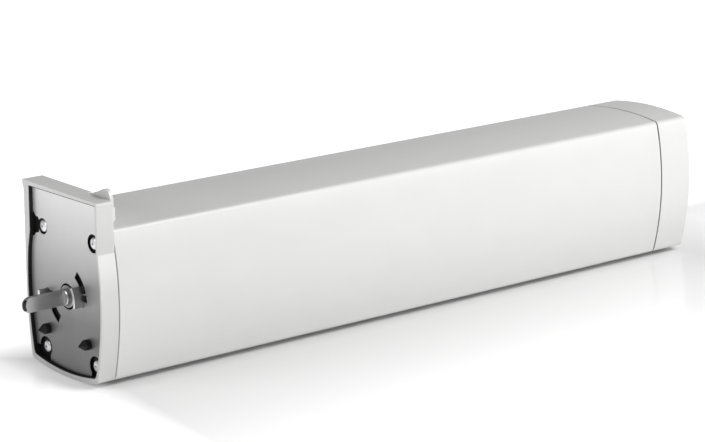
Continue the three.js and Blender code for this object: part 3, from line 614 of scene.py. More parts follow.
def finish(name, base, worn_and_highlight_colour, metallic, roughness, grain, grain_depth, spread=0.06, edge=0.5, edge_share=0.5,
           speckle=0.0, specular=0.5, painted_shading=None):
    """A surface with slow colour drift, fine grain, a speckle and brighter edges,
    partly wear and partly painted highlight.

    grain is a noise scale per axis in turns per metre, and grain_depth is in millimetres. edge is the width
    of the worn and highlighted edges in millimetres, edge_share how much of their colour they take. The
    (node, stops) pair of painted light and shade multiplies the surface by a grey that changes with height
    over that CAD node.
    """
    material = bpy.data.materials.new(name)
    material.use_nodes = True
    tree = material.node_tree
    shader = tree.nodes["Principled BSDF"]
    shader.inputs["Metallic"].default_value = metallic
    shader.inputs["Specular IOR Level"].default_value = specular
    drift = noise(tree, (22.0, 30.0, 26.0), 3.0)
    lines = noise(tree, grain, 6.0, 0.65)
    low = tuple(channel * (1 - spread) for channel in base[:3]) + (1.0,)
    high = tuple(min(1.0, channel * (1 + spread)) for channel in base[:3]) + (1.0,)
    colour = mix(tree, ramp(tree, drift, 0.3, 0.7, 0.0, 1.0), low, high)
    if speckle:
        dots = noise(tree, (2600.0, 2600.0, 2600.0), 2.0, 0.8)
        colour = mix(tree, ramp(tree, dots, 0.35, 0.75, 0.0, speckle), colour, grey(0.0))
    colour = mix(tree, ramp(tree, lines, 0.3, 0.7, 0.0, spread), colour, high)
    # Brighter edges: partly wear, partly painted highlight
    wear_and_highlight = wear_and_highlight_mask(tree, edge)
    chips = ramp(tree, noise(tree, (420.0, 420.0, 420.0), 4.0, 0.7), 0.35, 0.6, 0.2, 1.0)
    wear_and_highlight = add_node(tree, "ShaderNodeMath", {0: wear_and_highlight, 1: chips}, operation="MULTIPLY").outputs[0]
    wear_and_highlight = ramp(tree, wear_and_highlight, 0.0, 1.0, 0.0, edge_share)
    colour = mix(tree, wear_and_highlight, colour, worn_and_highlight_colour)
    # Painted light and shade: the colour is multiplied by a grey that changes with height
    if painted_shading:
        colour = mix(tree, 1.0, colour, painted_shading_by_height(tree, *painted_shading), "MULTIPLY")
    tree.links.new(colour, shader.inputs["Base Color"])
    rough = ramp(tree, lines, 0.2, 0.8, roughness * 0.85, min(1.0, roughness * 1.15))
    tree.links.new(rough, shader.inputs["Roughness"])
    bump = add_node(tree, "ShaderNodeBump", {
        "Strength": 1.0,
        "Distance": grain_depth * MM,
        "Height": lines,
    })
    tree.links.new(bump.outputs["Normal"], shader.inputs["Normal"])
    return material


def silver_coat(name, tone, worn_and_highlight_colour, painted_shading=None):
    """Satin silver powder coat with a faint fine speckle."""
    return finish(name, grey(tone, (1.0, 1.0, 0.99)), grey(worn_and_highlight_colour), 0.0, 0.32, (60.0, 1500.0, 1500.0), 0.004,
                  spread=0.012, edge=0.6, edge_share=0.5, speckle=0.03, painted_shading=painted_shading)


# Painted light and shade by share of the height: the plate is painted darker downwards as shade, and the
# block's front has a painted highlight just under its crease and painted shade above it
PLATE_PAINTED_SHADE = ((0.0, 0.24), (0.3, 0.25), (0.55, 0.46), (0.8, 0.70), (1.0, 0.88))
CREASE_SHARE = (CREASE_Z - END_FRAME[0].z) / (END_FRAME[1].z - END_FRAME[0].z)
# Painted light and shade on the block's front: lightest just under the crease as a painted highlight, darker
# above it as painted shade
FRONT_PAINTED_LIGHT_AND_SHADE = (
    (0.0, 0.76), (0.37, 0.80), (0.53, 0.82), (CREASE_SHARE - 0.08, 0.95), (CREASE_SHARE - 0.003, 0.985),
    (CREASE_SHARE + 0.003, 0.745), (CREASE_SHARE + 0.17, 0.80), (1.0, 0.825),
)

# A darker copy of the casing's satin silver coat for the rest of the block: painted shade
FRAME_COAT_PAINTED_DARKER = silver_coat("satin silver coat on the block painted darker as shade", 0.60, 0.86)
# A lighter copy of the silver coat for the block's front, carrying that painted light and shade
FRONT_COAT_WITH_PAINTED_LIGHT = silver_coat("satin silver coat on the front with painted light and shade", 0.75, 0.9, ("crank_end_frame", FRONT_PAINTED_LIGHT_AND_SHADE))
# Painted reflection: near black steel for the tip's chamfer facets, its edges painted bright as highlight
TIP_PAINTED_REFLECTION = finish("steel tip with painted dark reflection", grey(0.03), grey(0.7), 0.8, 0.3, (900.0, 900.0, 900.0), 0.01,
                  spread=0.1, edge=0.25, edge_share=1.0)
MATERIALS = {
    "satin_silver": silver_coat("satin silver coat", 0.66, 0.86),
    # The plate's zinc is painted darker downwards, as shade
    "plate_grey": finish(
        "brushed zinc plate painted darker downwards", grey(0.88), grey(0.95), 0.65, 0.42, (900.0, 900.0, 70.0), 0.008,
        spread=0.03, edge=0.3, edge_share=0.4, painted_shading=("crank_end_plate", PLATE_PAINTED_SHADE),
    ),
    "steel": finish(
        "brushed steel", grey(0.42), grey(0.95), 0.9, 0.30, (120.0, 2200.0, 2200.0), 0.006,
        spread=0.08, edge=0.5, edge_share=1.0,
    ),
    "bright_steel": finish(
        "bright zinc", grey(0.78, (1.0, 1.0, 1.02)), grey(0.95), 0.9, 0.36, (900.0, 900.0, 900.0), 0.004,
        spread=0.05, edge=0.25, edge_share=0.6,
    ),
    "bronze": finish(
        "sintered bronze", grey(0.62, (1.0, 0.70, 0.36)), grey(0.80, (1.0, 0.8, 0.5)), 0.85, 0.42,
        (1100.0, 1100.0, 1100.0), 0.012, spread=0.08, edge=0.4, edge_share=0.6, speckle=0.25,
    ),
    "zinc": finish(
        "zinc casting", grey(0.42, (0.97, 1.0, 1.03)), grey(0.62), 0.6, 0.55, (800.0, 800.0, 800.0), 0.03,
        spread=0.07, edge=0.6, edge_share=0.5, speckle=0.15,
    ),
    "black_plastic": finish(
        "fine grained black", grey(0.009), grey(0.05), 0.0, 0.5, (1400.0, 1400.0, 1400.0), 0.012,
        spread=0.12, edge=0.3, edge_share=0.25, specular=0.3,
    ),
    "nylon": finish(
        "natural nylon", grey(0.74, (1.0, 0.98, 0.92)), grey(0.85), 0.0, 0.42, (700.0, 700.0, 700.0), 0.008,
        spread=0.03, edge=0.4, edge_share=0.2,
    ),
}


# ---- casing and far cap ----

def extrusion_rings(low, high, rim_low, rim_high, steps=5):
    """Rings of the casing's section with a quarter-round rim at each end."""
    rings = []
    for end, inward, rim in ((low, 1, rim_low), (high, -1, rim_high)):
        quarter = []
        for step in range(steps + 1):
            angle = math.pi / 2 * step / steps
            section = casing_section(rim * (1 - math.sin(angle)))
            quarter.append((end + inward * rim * (1 - math.cos(angle)), section))
        rings.extend(quarter[::inward])
    return rings


def screw_hole(screw, low, high):
    """Clearance hole for a corner screw's shank."""
    return rod(screw, SCREW_RADIUS + GAP, low, high, 24)


def screw_port(screw, radius, low, high):
    """Round port for a corner screw, with a rib to the nearer side wall."""
    reach = (screw.y, CASING[1].y) if screw.y > DEPTH / 2 else (CASING[0].y, screw.y)
    rib = block("rib", (low, reach[0], screw.z - WALL / 2), (high, reach[1], screw.z + WALL / 2))
    return join(rod(screw, radius, low, high, 32), rib)


def inside_walls(piece, low, high):
    """Trims the piece half way through the casing's walls."""
    skin = prism_x("skin", casing_section(WALL / 2, INNER_CORNER), low, high)
    return combine(piece, "INTERSECT", [skin])


def paint_seam_shade(piece, end):
    """Paints the darker zinc on the cut end faces at a seam: painted shade in the seam."""
    end_x = place(end, 0, 0).x
    recoat(piece, MATERIALS["zinc"],
           lambda middle, normal: abs(middle.x - end_x) < SEAM_RIM * MM and abs(normal.x) > FACING)


def casing():
    """Extruded shell with rails and screw ports inside and the arms' slot in its back."""
    low, high = CASING[0].x, CASING[1].x
    first, last = low + SHORT_OF_END, high - SHORT_OF_END
    shell = from_rings("extruded_casing", extrusion_rings(low, high, SEAM_RIM, SEAM_RIM))
    shell = cut(shell, prism_x("bore", casing_section(WALL, INNER_CORNER), low - PAST, high + PAST))
    rail_top = span("gear_case_left")[0].z - GAP
    additions = []
    for front, back in ((CASING[0].y, RAIL["reach"]), (DEPTH - RAIL["reach"], CASING[1].y)):
        rail = block("rail", (first, front, rail_top - RAIL["thickness"]), (last, back, rail_top))
        additions.append(inside_walls(rail, low, high))
    for screw in CORNERS.values():
        port = cut(screw_port(screw, PORT_RADIUS["casing"], first, last), screw_hole(screw, low, high))
        additions.append(inside_walls(port, low, high))
    shell = join(shell, *additions)
    slot_low, slot_high = span("arm_slot_liner")
    opening = block("slot", (slot_low.x - GAP, DEPTH - WALL - PAST, slot_low.z - GAP),
                    (slot_high.x + GAP, CASING[1].y + PAST, slot_high.z + GAP))
    round_upright_edges(opening, SLOT_CORNER["casing"], Vector((0, 1, 0)))
    shell = cut(shell, opening)
    # The far seam's end faces take the darker zinc, as painted shade in the seam
    paint_seam_shade(fit(shade(shell), "casing"), high)


def cap_screw_seat(name, high):
    """Hole for a far end screw, with a flared seat for its head."""
    node = f"far_end_screw_{name}"
    screw = CORNERS[name]
    shank = SCREW_RADIUS + GAP
    head = half_size(node).y + GAP
    seat = span(node)[1].x - HEAD_HEIGHT - GAP
    profile = [
        (CAP[0].x - PAST, 0),
        (CAP[0].x - PAST, shank),
        (seat, shank),
        (seat, head),
        (high - HEAD_FLARE, head),
        (high, head + HEAD_FLARE),
        (high + PAST, head + HEAD_FLARE),
        (high + PAST, 0),
    ]
    return turned("seat", profile, screw.y, screw.z)


def far_cap():
    """Cap with a closed far end, screw ports inside and seats for its four screws."""
    low, high = CAP[0].x, CAP[1].x
    floor_start = high - CAP_FLOOR
    cap = from_rings("far_cap", extrusion_rings(low, high, SEAM_RIM, CAP_RIM))
    cap = cut(cap, prism_x("bore", casing_section(WALL, INNER_CORNER), low - PAST, floor_start))
    ports = [
        inside_walls(screw_port(screw, PORT_RADIUS["cap"], low + GAP, floor_start + PAST), low, high - PAST)
        for screw in CORNERS.values()
    ]
    cap = join(cap, *ports)
    cap = cut(cap, *[cap_screw_seat(name, high) for name in CORNERS])
    paint_seam_shade(fit(shade(cap), "far_end_cap"), low)


# ---- crank end ----

def mark_crease(body):
    """Keeps the shading sharp along the crease across the block's front."""
    crease = place(0, DEPTH / 2, CREASE_Z)
    near = 0.2 * MM
    for edge in body.data.edges:
        ends = [body.data.vertices[index].co for index in edge.vertices]
        if all(abs(end.z - crease.z) < near and end.y < crease.y for end in ends):
            edge.use_edge_sharp = True


def end_frame():
    """Block with its recess, its lever rebate and its holes."""
    low, high = END_FRAME[0].x, END_FRAME[1].x
    past = high + PAST
    body = prism_x("crank_end_block", block_section(), low, FRAME_END)
    thicker = prism_x("thicker", block_section(), FRAME_END - PAST, high)
    above = block("above", (low, REBATE_SIDE, BLOCK_FOOT), (past, BLOCK_BACK + PAST, BLOCK_TOP + PAST))
    body = join(body, combine(thicker, "INTERSECT", [above]))
    pin = centre("lever_pin")
    pin_hole = half_size("lever_pin").y - PIN_OVERHANG + GAP
    rebate_low = (REBATE_FLOOR, BLOCK_FRONT - PAST, BLOCK_FOOT)
    tools = [
        block("rebate", rebate_low, (past, REBATE_SIDE, BLOCK_TOP + PAST)),
        prism_x("recess", recess_section(), low - PAST, low + RECESS["depth"]),
        *[screw_hole(screw, low, past) for screw in CORNERS.values()],
        rod(pin, pin_hole, low, past, 24),
        rod(AXIS, SHAFT_HOLE, low, past),
    ]
    body = soften(cut(body, *tools), EDGE["frame"], segments=3, angle=24)
    mark_crease(body)
    # The block takes the darker copy of the silver coat, as painted shade
    fit(body, "crank_end_frame", coat=FRAME_COAT_PAINTED_DARKER)
    # The front faces take the lighter copy, with a painted highlight under the crease and painted shade
    # above it
    recoat(body, FRONT_COAT_WITH_PAINTED_LIGHT, lambda middle, normal: normal.y < -FACING)


def end_liner():
    """Black cup that lines the recess, its floor running behind the plate, with slits for the claws."""
    low, high = span("end_cup")
    past = high.x + PAST
    cup = prism_x("end_liner", recess_section(CUP_FIT), low.x, high.x)
    pocket = half_size("claw_bracket").z + GAP
    tools = [
        prism_x("hollow", recess_section(CUP_FIT + CUP_WALL), low.x - PAST, CUP_FLOOR),
        *[screw_hole(screw, 0, past) for screw in CORNERS.values()],
        rod(AXIS, pocket, CUP_FLOOR + CUP_SKIN, past),
        rod(AXIS, HUB["radius"] + GAP, 0, past),
    ]
    for claw in CLAWS:
        slit = sector(claw["inner"] - GAP, claw["outer"] + GAP, claw["start"] - 1, claw["end"] + 1)
        tools.append(prism_x("slit", slit, 0, past))
    fit(shade(cut(cup, *tools)), "end_cup")


def round_dimple(name, low, high):
    """Round hole with a pressed cone round it, open towards the plate's outer face."""
    screw = CORNERS[name]
    hole = DIMPLES[name]["hole"]
    wide = DIMPLES[name]["wide"]
    past = 0.1
    profile = [(low - past, 0), (low - past, wide), (low + DIMPLE_DEPTH, hole), (high + past, hole),
               (high + past, 0)]
    return turned("dimple", profile, screw.y, screw.z, sides=64)


def flared_notch(screw, low, high):
    """Notch from the plate's rear edge in to a screw, wider at the edge."""
    half = NOTCH["half"]
    flare = NOTCH["flare"]
    corner = NOTCH["corner"]
    floor_y = screw.y + NOTCH["depth"]
    side = [
        (floor_y, half - corner),
        (floor_y + corner, half),
        (floor_y + flare, half),
        (floor_y + 2 * flare, half + flare),
        (BLOCK_BACK, half + flare),
    ]
    below = [(y, screw.z - reach) for y, reach in side]
    above = [(y, screw.z + reach) for y, reach in reversed(side)]
    return prism_x("notch", below + above, low - PAST, high + PAST)


def corner_pocket(screw, low, high):
    """Round pocket about a lower screw, open to the corner."""
    reach = (screw.y - POCKET["reach"], BLOCK_BACK)
    if screw.y < AXIS.y:
        reach = (CASING[0].y - PAST, screw.y + POCKET["reach"])
    corner = block("corner", (low - PAST, reach[0], CASING[0].z - PAST), (high + PAST, reach[1], screw.z))
    return join(rod(screw, POCKET["radius"], low - PAST, high + PAST), corner)


def end_plate():
    """Sheet plate cut away round the screws, the hub and the claws."""
    low = PLATE[0].x
    high = low + SHEET
    plate = prism_x("end_plate", recess_section(CUP_WALL + 2 * CUP_FIT), low, high)
    stud_axes = [centre(f"locating_stud_{name}") for name in STUDS]
    through = (low - PAST, high + PAST)
    holes = [
        flared_notch(CORNERS["top_rear"], low, high),
        rod(AXIS, HUB["hole"], *through),
        *[prism_x("claw slot", sector(**slot), *through) for slot in SLOTS],
        *[rod(stud_axis, STUD_HOLE, *through, 24) for stud_axis in stud_axes],
    ]
    pockets = [corner_pocket(CORNERS[name], low, high) for name in ("bottom_front", "bottom_rear")]
    dimples = [round_dimple(name, low, high) for name in DIMPLES]
    plate = cut(plate, *pockets, *dimples, *holes)
    plate = join(plate, prism_x("bridge", sector(**BRIDGE, steps=4), low, high))
    fit(soften(plate, EDGE["plate"], segments=2), "crank_end_plate")


def claws():
    """Two curved claws on a hidden ring; their faces that show through the plate take the bright zinc as a
    painted highlight.
    """
    low, high = span("claw_bracket")
    radius = half_size("claw_bracket").z
    bracket = prism_x("claw_ring", ring(AXIS.y, AXIS.z, radius), CUP_FLOOR + CUP_SKIN + GAP, high.x)
    bracket = join(bracket, *[prism_x("claw", sector(**claw), low.x, high.x) for claw in CLAWS])
    bracket = cut(bracket, rod(AXIS, HUB["hole"] + GAP, 0, high.x + PAST))
    fit(soften(bracket, EDGE["claws"], segments=2), "claw_bracket")
    # Painted highlight: the claws' front faces in front of the cup floor take the bright zinc
    cup_floor = place(CUP_FLOOR, 0, 0).x
    recoat(bracket, MATERIALS["bright_steel"],
           lambda middle, normal: normal.x < -FACING and middle.x < cup_floor)


def stud(name):
    """Pointed stud: a blunted cone on a cylindrical base, with a thinner shank behind the plate."""
    node = f"locating_stud_{name}"
    low, high = span(node)
    middle = centre(node)
    radius = half_size(node).y
    shoulder = PLATE[0].x - GAP
    waist = low.x + STUD_CONE * (shoulder - low.x)
    blunt_tip = [(low.x, 0), (low.x + 0.1, 0.35), (low.x + 0.4, 0.65)]
    eased_waist = [(waist - 0.3, radius - 0.45), (waist, radius - 0.1), (waist + 0.3, radius)]
    eased_base = [(shoulder - 0.25, radius), (shoulder, radius - 0.25)]
    shank = [(shoulder, SCREW_RADIUS - 0.1), (high.x, SCREW_RADIUS - 0.1), (high.x, 0)]
    profile = blunt_tip + eased_waist + eased_base + shank
    fit(shade(turned(f"pointed_stud_{name}", profile, middle.y, middle.z)), node)


def blade_outline(tip_inset, side_inset):
    """The blade's (x, z) outline with its tip and its long edges drawn in."""
    half = BLADE["height"] / 2
    middle = span("crank_tang_shaft")[0].x + half
    root = PLATE[0].x
    outline = []
    for i in range(END_STEPS + 1):
        angle = math.pi * i / END_STEPS
        outline.append((
            middle - (half - tip_inset) * math.sin(angle),
            AXIS.z + (half - side_inset) * math.cos(angle),
        ))
    return outline + [(root, AXIS.z - half + side_inset), (root, AXIS.z + half - side_inset)]


def flat_blade():
    """Blade with a round end, chamfered round its tip on both faces."""
    half = BLADE["thickness"] / 2
    inner = half - BLADE["chamfer_depth"]
    face = blade_outline(BLADE["chamfer"], BLADE["edge"])
    full = blade_outline(0.0, 0.0)
    depths = ((-half, face), (-inner, full), (inner, full), (half, face))
    return from_rings("crank_blade", [(AXIS.y + depth, outline) for depth, outline in depths], "y")


def hub():
    """Boss, grooved hub disc and stub, turned about the crank axis."""
    end = span("crank_tang_shaft")[1].x
    boss, radius = BOSS["radius"], HUB["radius"]
    face = PLATE[0].x - HUB["proud"]
    boss_end = face - BOSS["length"]
    groove = face + HUB["groove"]
    rim = radius - HUB["rim"]
    seat = RECESS["depth"] - GAP
    edge = BOSS["edge"]
    boss_points = [(boss_end, 0), (boss_end, boss - edge), (boss_end + edge, boss), (groove, boss)]
    rim_points = [(groove, boss + 0.2), (face + 0.1, rim), (face, rim + 0.2), (face + 0.1, radius - 0.2),
                  (face + 0.4, radius)]
    stub_points = [(seat, radius), (seat, STUB_RADIUS), (end, STUB_RADIUS), (end, 0)]
    return turned("hub", boss_points + rim_points + stub_points, AXIS.y, AXIS.z, sides=64)


def crank_blade():
    """Flat blade on its hub; the chamfer facets of its tip, on both faces, are painted dark as a reflection,
    with painted bright edges.
    """
    shaft = fit(shade(join(flat_blade(), hub()), 25), "crank_tang_shaft")
    tip_end = place(span("crank_tang_shaft")[0].x + BLADE["chamfer"], 0, 0).x
    slant = 0.2
    spread = 0.38
    recoat(shaft, TIP_PAINTED_REFLECTION, lambda middle, normal: (
        middle.x < tip_end and normal.x < -slant and abs(normal.y) > slant and abs(normal.z) < spread
    ))


def lever():
    """Thumb lever that curves up beside the block, with a nub at its front edge."""
    low, high = span("release_lever")
    pin = centre("lever_pin")
    thickness = 2.4
    outline = rounded_outline([
        ([(low.y, 104.4), (9.0, 104.4)], None),
        ([(17.0, 106.6)], (19.6, 107.4)),
        ([(21.4, 110.0), (22.0, 113.0), (22.0, 119.0)], (22.0, 119.8)),
        ([(20.8, 120.2), (13.5, 122.8), (10.7, 124.1), (7.9, 125.3)], (5.2, 126.5)),
        ([(2.6, 125.3), (0.8, 123.4), (-0.2, 121.0)], (low.y, 119.6)),
        ([(low.y, 118.0)], None),
    ])
    shoulder = 118
    top = max(z for _, z in outline)
    excess = (top - high.z) / (top - shoulder)
    outline = [(y, z - max(0.0, z - shoulder) * excess) for y, z in outline]
    plate = prism_x("thumb_lever", outline, low.x, low.x + thickness)
    nub = block("nub", (low.x + thickness - 0.5, low.y, 105.6), (high.x, low.y + 3, 114.6))
    round_upright_edges(nub, 0.8, Vector((1, 0, 0)))
    plate = join(plate, nub)
    plate = cut(plate, rod(pin, LEVER_HOLE, 0, high.x + PAST, 24))
    fit(soften(plate, EDGE["lever"], segments=4), "release_lever")


def pan_screw(name, node, head_face, inward):
    """Pan head with a domed top, a cross recess and a shank; inward is the way its shank points."""
    middle = centre(node)
    radius = half_size(node).y
    length = 2 * half_size(node).x
    dome = 0.75
    edge = 0.25
    steps = 6
    profile = [(dome * (i / steps) ** 2, (radius - edge) * i / steps) for i in range(steps + 1)]
    profile += [
        (dome + 0.3, radius),
        (HEAD_HEIGHT - edge, radius),
        (HEAD_HEIGHT, radius - 0.2),
        (HEAD_HEIGHT, SCREW_RADIUS),
        (length, SCREW_RADIUS),
        (length, 0),
    ]
    profile = [(head_face + inward * depth, r) for depth, r in profile]
    screw = turned(name, profile, middle.y, middle.z)
    outer, inner = sorted((head_face - inward * PAST, head_face + inward * CROSS["depth"]))
    bars = [
        block("recess", (outer, middle.y - y, middle.z - z), (inner, middle.y + y, middle.z + z))
        for y, z in (CROSS["half"], CROSS["half"][::-1])
    ]
    fit(shade(cut(screw, *bars), 30), node)


def corner_screws():
    for name in CORNERS:
        near = f"crank_end_screw_{name}"
        far = f"far_end_screw_{name}"
        pan_screw(f"pan_screw_near_{name}", near, span(near)[0].x, 1)
        pan_screw(f"pan_screw_far_{name}", far, span(far)[1].x, -1)


def lever_pin():
    """Rivet with a low domed head."""
    low, high = span("lever_pin")
    middle = centre("lever_pin")
    head = half_size("lever_pin").y
    shank = head - PIN_OVERHANG
    head_start = high.x - 1
    profile = [(low.x, 0), (low.x, shank), (head_start, shank), (head_start, head), (high.x - 0.7, head),
               (high.x - 0.3, head - 0.5), (high.x - 0.05, shank), (high.x, 0)]
    fit(shade(turned("lever_rivet", profile, middle.y, middle.z)), "lever_pin")


# ---- slot, arms and rollers ----

def slot_edging():
    """Black edging round the slot, with rounded corners inside and out."""
    low, high = span("arm_slot_liner")
    edging = block("slot_edging", low, high)
    round_upright_edges(edging, SLOT_CORNER["edging"], Vector((0, 1, 0)))
    opening = block("opening", (low.x + EDGING_WALL, low.y - PAST, low.z + EDGING_WALL),
                    (high.x - EDGING_WALL, high.y + PAST, high.z - EDGING_WALL))
    round_upright_edges(opening, SLOT_CORNER["opening"], Vector((0, 1, 0)))
    fit(soften(cut(edging, opening), EDGE["edging"], segments=2), "arm_slot_liner")


def swing_arm(side, towards):
    """Flat bar with round ends, a boss under its pivot and a shallow pressed groove along its top."""
    node = f"swing_arm_{side}"
    low, high = span(node)
    pivot = centre(f"arm_spindle_{side}")
    half = half_size(node).y
    tip = (high.x if towards > 0 else low.x) - towards * half
    bottom = high.z - ARM["thickness"]
    above = high.z + PAST
    outline = round_ended(*sorted((pivot.x, tip)), pivot.y, half, END_STEPS)
    bar = prism_z(f"arm_bar_{side}", outline, bottom, high.z)
    bar = join(bar, prism_z("boss", ring(pivot.x, pivot.y, half - EDGE["arm"]), low.z, bottom + PAST))
    groove_ends = sorted((pivot.x + towards * GROOVE["from_pivot"], tip - towards * GROOVE["from_tip"]))
    groove = round_ended(*groove_ends, pivot.y, GROOVE["radius"], END_STEPS // 2)
    tools = [
        prism_z("groove", groove, high.z - GROOVE["depth"], above),
        prism_z("hole", ring(pivot.x, pivot.y, ARM["pivot_hole"], 48), low.z - PAST, above),
        prism_z("hole", ring(tip, pivot.y, ARM["tip_hole"], 32), low.z - PAST, above),
    ]
    fit(soften(cut(bar, *tools), EDGE["arm"], segments=2), node)


def spindle_nut(side):
    """Hexagon nut with its corners turned off."""
    node = f"spindle_nut_{side}"
    low, high = span(node)
    middle = centre(node)
    half = half_size(node)
    radius = max(half.x, half.y)
    offset = math.pi / 6 if half.y >= half.x else 0.0
    angles = [math.pi / 3 * i + offset for i in range(6)]
    hexagon = [(middle.x + radius * math.cos(turn), middle.y + radius * math.sin(turn)) for turn in angles]
    nut = prism_z(f"hex_nut_{side}", hexagon, low.z, high.z)
    chamfer = 0.9
    narrow = radius - 1.6
    wide = radius + 0.3
    profile = [
        (low.z - PAST, 0),
        (low.z - PAST, narrow),
        (low.z + chamfer, wide),
        (high.z - chamfer, wide),
        (high.z + PAST, narrow),
        (high.z + PAST, 0),
    ]
    nut = combine(nut, "INTERSECT", [turned("cone", profile, middle.x, middle.y, "z")])
    bore = ring(middle.x, middle.y, ARM["pivot_hole"], 48)
    nut = cut(nut, prism_z("bore", bore, low.z - PAST, high.z + PAST))
    fit(soften(nut, EDGE["nut"], segments=2), node)


def spindle(side):
    """Upright spindle with a threaded, slotted top."""
    node = f"arm_spindle_{side}"
    low, high = span(node)
    middle = centre(node)
    radius = half_size(node).x
    foot_edge = 0.4
    pitch = 1.0
    thread_depth = 0.35
    thread_start = span(f"spindle_nut_{side}")[0].z - 1
    thread_end = high.z - 0.6
    profile = [(low.z, 0), (low.z, radius - foot_edge), (low.z + foot_edge, radius), (thread_start, radius)]
    root = thread_start + pitch / 2
    while root + pitch < thread_end:
        profile += [(root, radius - thread_depth), (root + pitch / 2, radius)]
        root += pitch
    profile += [(thread_end, radius - 0.5), (high.z, radius - 1.0), (high.z, 0)]
    pin = turned(f"spindle_{side}", profile, middle.x, middle.y, "z")
    half_slot = 0.6
    slot_floor = high.z - 1.4
    reach = radius + PAST
    pin = cut(pin, block("driver slot", (middle.x - reach, middle.y - half_slot, slot_floor),
                         (middle.x + reach, middle.y + half_slot, high.z + PAST)))
    fit(shade(pin, 30), node)


def roller_pin(side):
    """Riveted pin with domed heads."""
    node = f"roller_pin_{side}"
    low, high = span(node)
    middle = centre(node)
    head = half_size(node).x
    shank = head - 1.5
    dome = [(0.0, 0), (0.06, head * 0.5), (0.4, head - 0.35), (0.8, head), (1.2, head), (1.2, shank)]
    profile = [(low.z + depth, radius) for depth, radius in dome]
    profile += [(high.z - depth, radius) for depth, radius in reversed(dome)]
    fit(shade(turned(f"rivet_{side}", profile, middle.x, middle.y, "z"), 50), node)


def roller(side):
    """Nylon roller with a shallow groove round its middle and counterbored faces."""
    node = f"arm_roller_{side}"
    low, high = span(node)
    middle = centre(node)
    radius = half_size(node).x
    bore = ARM["tip_hole"]
    waist = 0.6
    half = (high.z - low.z) / 2
    lower_half = [
        (0.0, bore),
        (0.0, bore + 1.0),
        (0.35, bore + 1.2),
        (0.35, radius - 1.4),
        (0.0, radius - 1.2),
        (0.0, radius - 0.7),
        (0.25, radius - 0.2),
        (0.8, radius),
        (half - waist - 0.4, radius),
        (half - waist, radius - 0.35),
    ]
    profile = [(low.z + depth, r) for depth, r in lower_half]
    profile += [(high.z - depth, r) for depth, r in reversed(lower_half)]
    fit(shade(turned(f"roller_{side}", profile, middle.x, middle.y, "z"), 30), node)


# ---- what stays from the CAD ----

def coat_carried_nodes():
    """Every CAD node that still shows gets its slot's material and slightly rounded edges."""
    for node, shape in frame["nodes"].items():
        if shape.hide_render:
            continue
        shape.data.materials.clear()
        shape.data.materials.append(MATERIALS[SLOT_OF[node]])
        bevel = shape.modifiers.new("soft edges", "BEVEL")
        bevel.width = EDGE["cad"] * MM
        bevel.segments = 2
        bevel.limit_method = "ANGLE"
        bevel.angle_limit = math.radians(35)


# ---- stage, light and camera ----

def floor_glow(tree):
    """Painted light: a glow that sets in beside the part and grows outwards, lifting the cast shadows there,
    so that the floor reads as white.
    """
    plan = add_node(tree, "ShaderNodeSeparateXYZ", {"Vector": stretched(tree, (1.0, 1.0, 1.0))}).outputs
    near_end = place(15, 0, 0).x
    far_end = cad_bounds[1].x
    growths = (
        ("Y", -0.06, -0.34, 0.65),
        ("Y", 0.03, 0.08, 0.7),
        ("X", near_end, near_end - 0.035, 0.55),
        ("X", far_end, far_end + 0.08, 0.25),
    )
    glow = 0.0
    for axis, start, end, strength in growths:
        growth = ramp(tree, plan[axis], start, end, 0.0, strength)
        glow = add_node(tree, "ShaderNodeMath", {0: glow, 1: growth}, operation="MAXIMUM").outputs[0]
    return mix(tree, glow, grey(0.0), grey(1.0))


def floor():
    """Wide pale floor with a faint gloss and a glow of painted light, just under the part."""
    half = 6.0
    drop = 0.0002
    mesh_data = bpy.data.meshes.new("floor")
    bm = bmesh.new()
    bmesh.ops.create_grid(bm, x_segments=1, y_segments=1, size=half)
    bm.to_mesh(mesh_data)
    bm.free()
    ground = new_object("floor", mesh_data)
    ground.location = (0, 0, cad_bounds[0].z - drop)
    material = bpy.data.materials.new("pale floor")
    material.use_nodes = True
    tree = material.node_tree
    shader = tree.nodes["Principled BSDF"]
    cloud = noise(tree, (1.3, 1.3, 1.3), 2.0)
    tree.links.new(mix(tree, cloud, grey(0.83), grey(0.86)), shader.inputs["Base Color"])
    tree.links.new(floor_glow(tree), shader.inputs["Emission Color"])
    shader.inputs["Emission Strength"].default_value = 1.0
    shader.inputs["Roughness"].default_value = 0.16
    shader.inputs["Specular IOR Level"].default_value = 0.45
    mesh_data.materials.append(material)


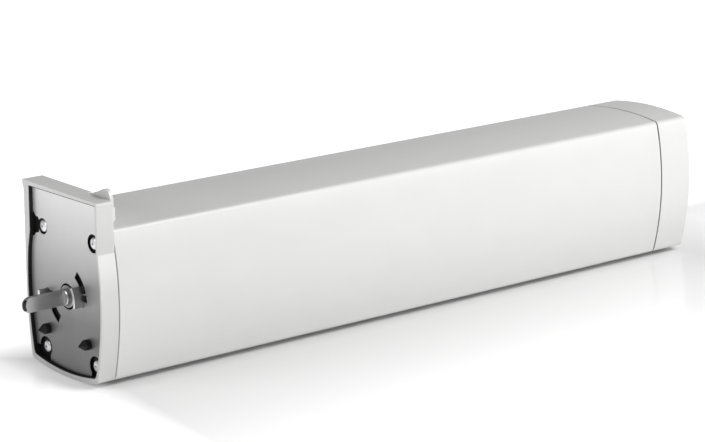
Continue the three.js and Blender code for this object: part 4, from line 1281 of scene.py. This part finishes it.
def surroundings():
    """Soft surroundings, darker overhead and towards the crank end."""
    world = bpy.data.worlds.new("studio")
    world.use_nodes = True
    tree = world.node_tree
    background = tree.nodes["Background"]
    direction = add_node(tree, "ShaderNodeTexCoord").outputs["Generated"]
    towards = add_node(tree, "ShaderNodeSeparateXYZ", {"Vector": direction}).outputs
    sky = mix(tree, ramp(tree, towards["Z"], 0.0, 0.8, 0.0, 1.0), grey(1.0), grey(0.35))
    sides = mix(tree, ramp(tree, towards["X"], -0.7, 0.5, 0.0, 1.0), grey(0.5), grey(1.0))
    tree.links.new(mix(tree, 1.0, sky, sides, "MULTIPLY"), background.inputs["Color"])
    background.inputs["Strength"].default_value = 0.58
    bpy.context.scene.world = world


def soft_light(name, position, target, size, power):
    data = bpy.data.lights.new(name, "AREA")
    data.shape = "RECTANGLE"
    data.size, data.size_y = size
    data.energy = power
    light = bpy.data.objects.new(name, data)
    bpy.context.scene.collection.objects.link(light)
    light.location = position
    light.rotation_euler = (target - position).to_track_quat("-Z", "Y").to_euler()


def lights():
    """A wide raised key and a long low strip on the room side, and a small light near the plate."""
    middle = (cad_bounds[0] + cad_bounds[1]) / 2
    target = middle + Vector((0.05, 0, 0))
    soft_light("key", middle + Vector((0.50, -0.95, 1.15)), target, (0.9, 0.5), 17.6)
    soft_light("strip", middle + Vector((1.05, -1.35, 0.50)), target, (1.3, 0.22), 7.5)
    soft_light("near", place(-170, 40, 175), place(0, 36, 90), (0.10, 0.06), 0.14)


def camera():
    """Long lens from the crank end, above and to the room side."""
    data = bpy.data.cameras.new("camera")
    data.lens = CAMERA["lens"]
    view = bpy.data.objects.new("camera", data)
    bpy.context.scene.collection.objects.link(view)
    azimuth = Matrix.Rotation(math.radians(CAMERA["azimuth"]), 4, "Z")
    elevation = Matrix.Rotation(math.radians(90 - CAMERA["elevation"]), 4, "X")
    turn = azimuth @ elevation
    back = turn.to_3x3() @ Vector((0, 0, CAMERA["distance"]))
    view.matrix_world = Matrix.Translation(place(*CAMERA["aim"]) + back) @ turn
    bpy.context.scene.camera = view


bpy.context.scene.view_settings.view_transform = "Standard"

casing()
far_cap()
end_frame()
end_liner()
end_plate()
claws()
for name in STUDS:
    stud(name)
crank_blade()
lever()
lever_pin()
corner_screws()
slot_edging()
for side, towards in (("left", 1), ("right", -1)):
    swing_arm(side, towards)
    spindle_nut(side)
    spindle(side)
    roller_pin(side)
    roller(side)
coat_carried_nodes()
floor()
surroundings()
lights()
camera()
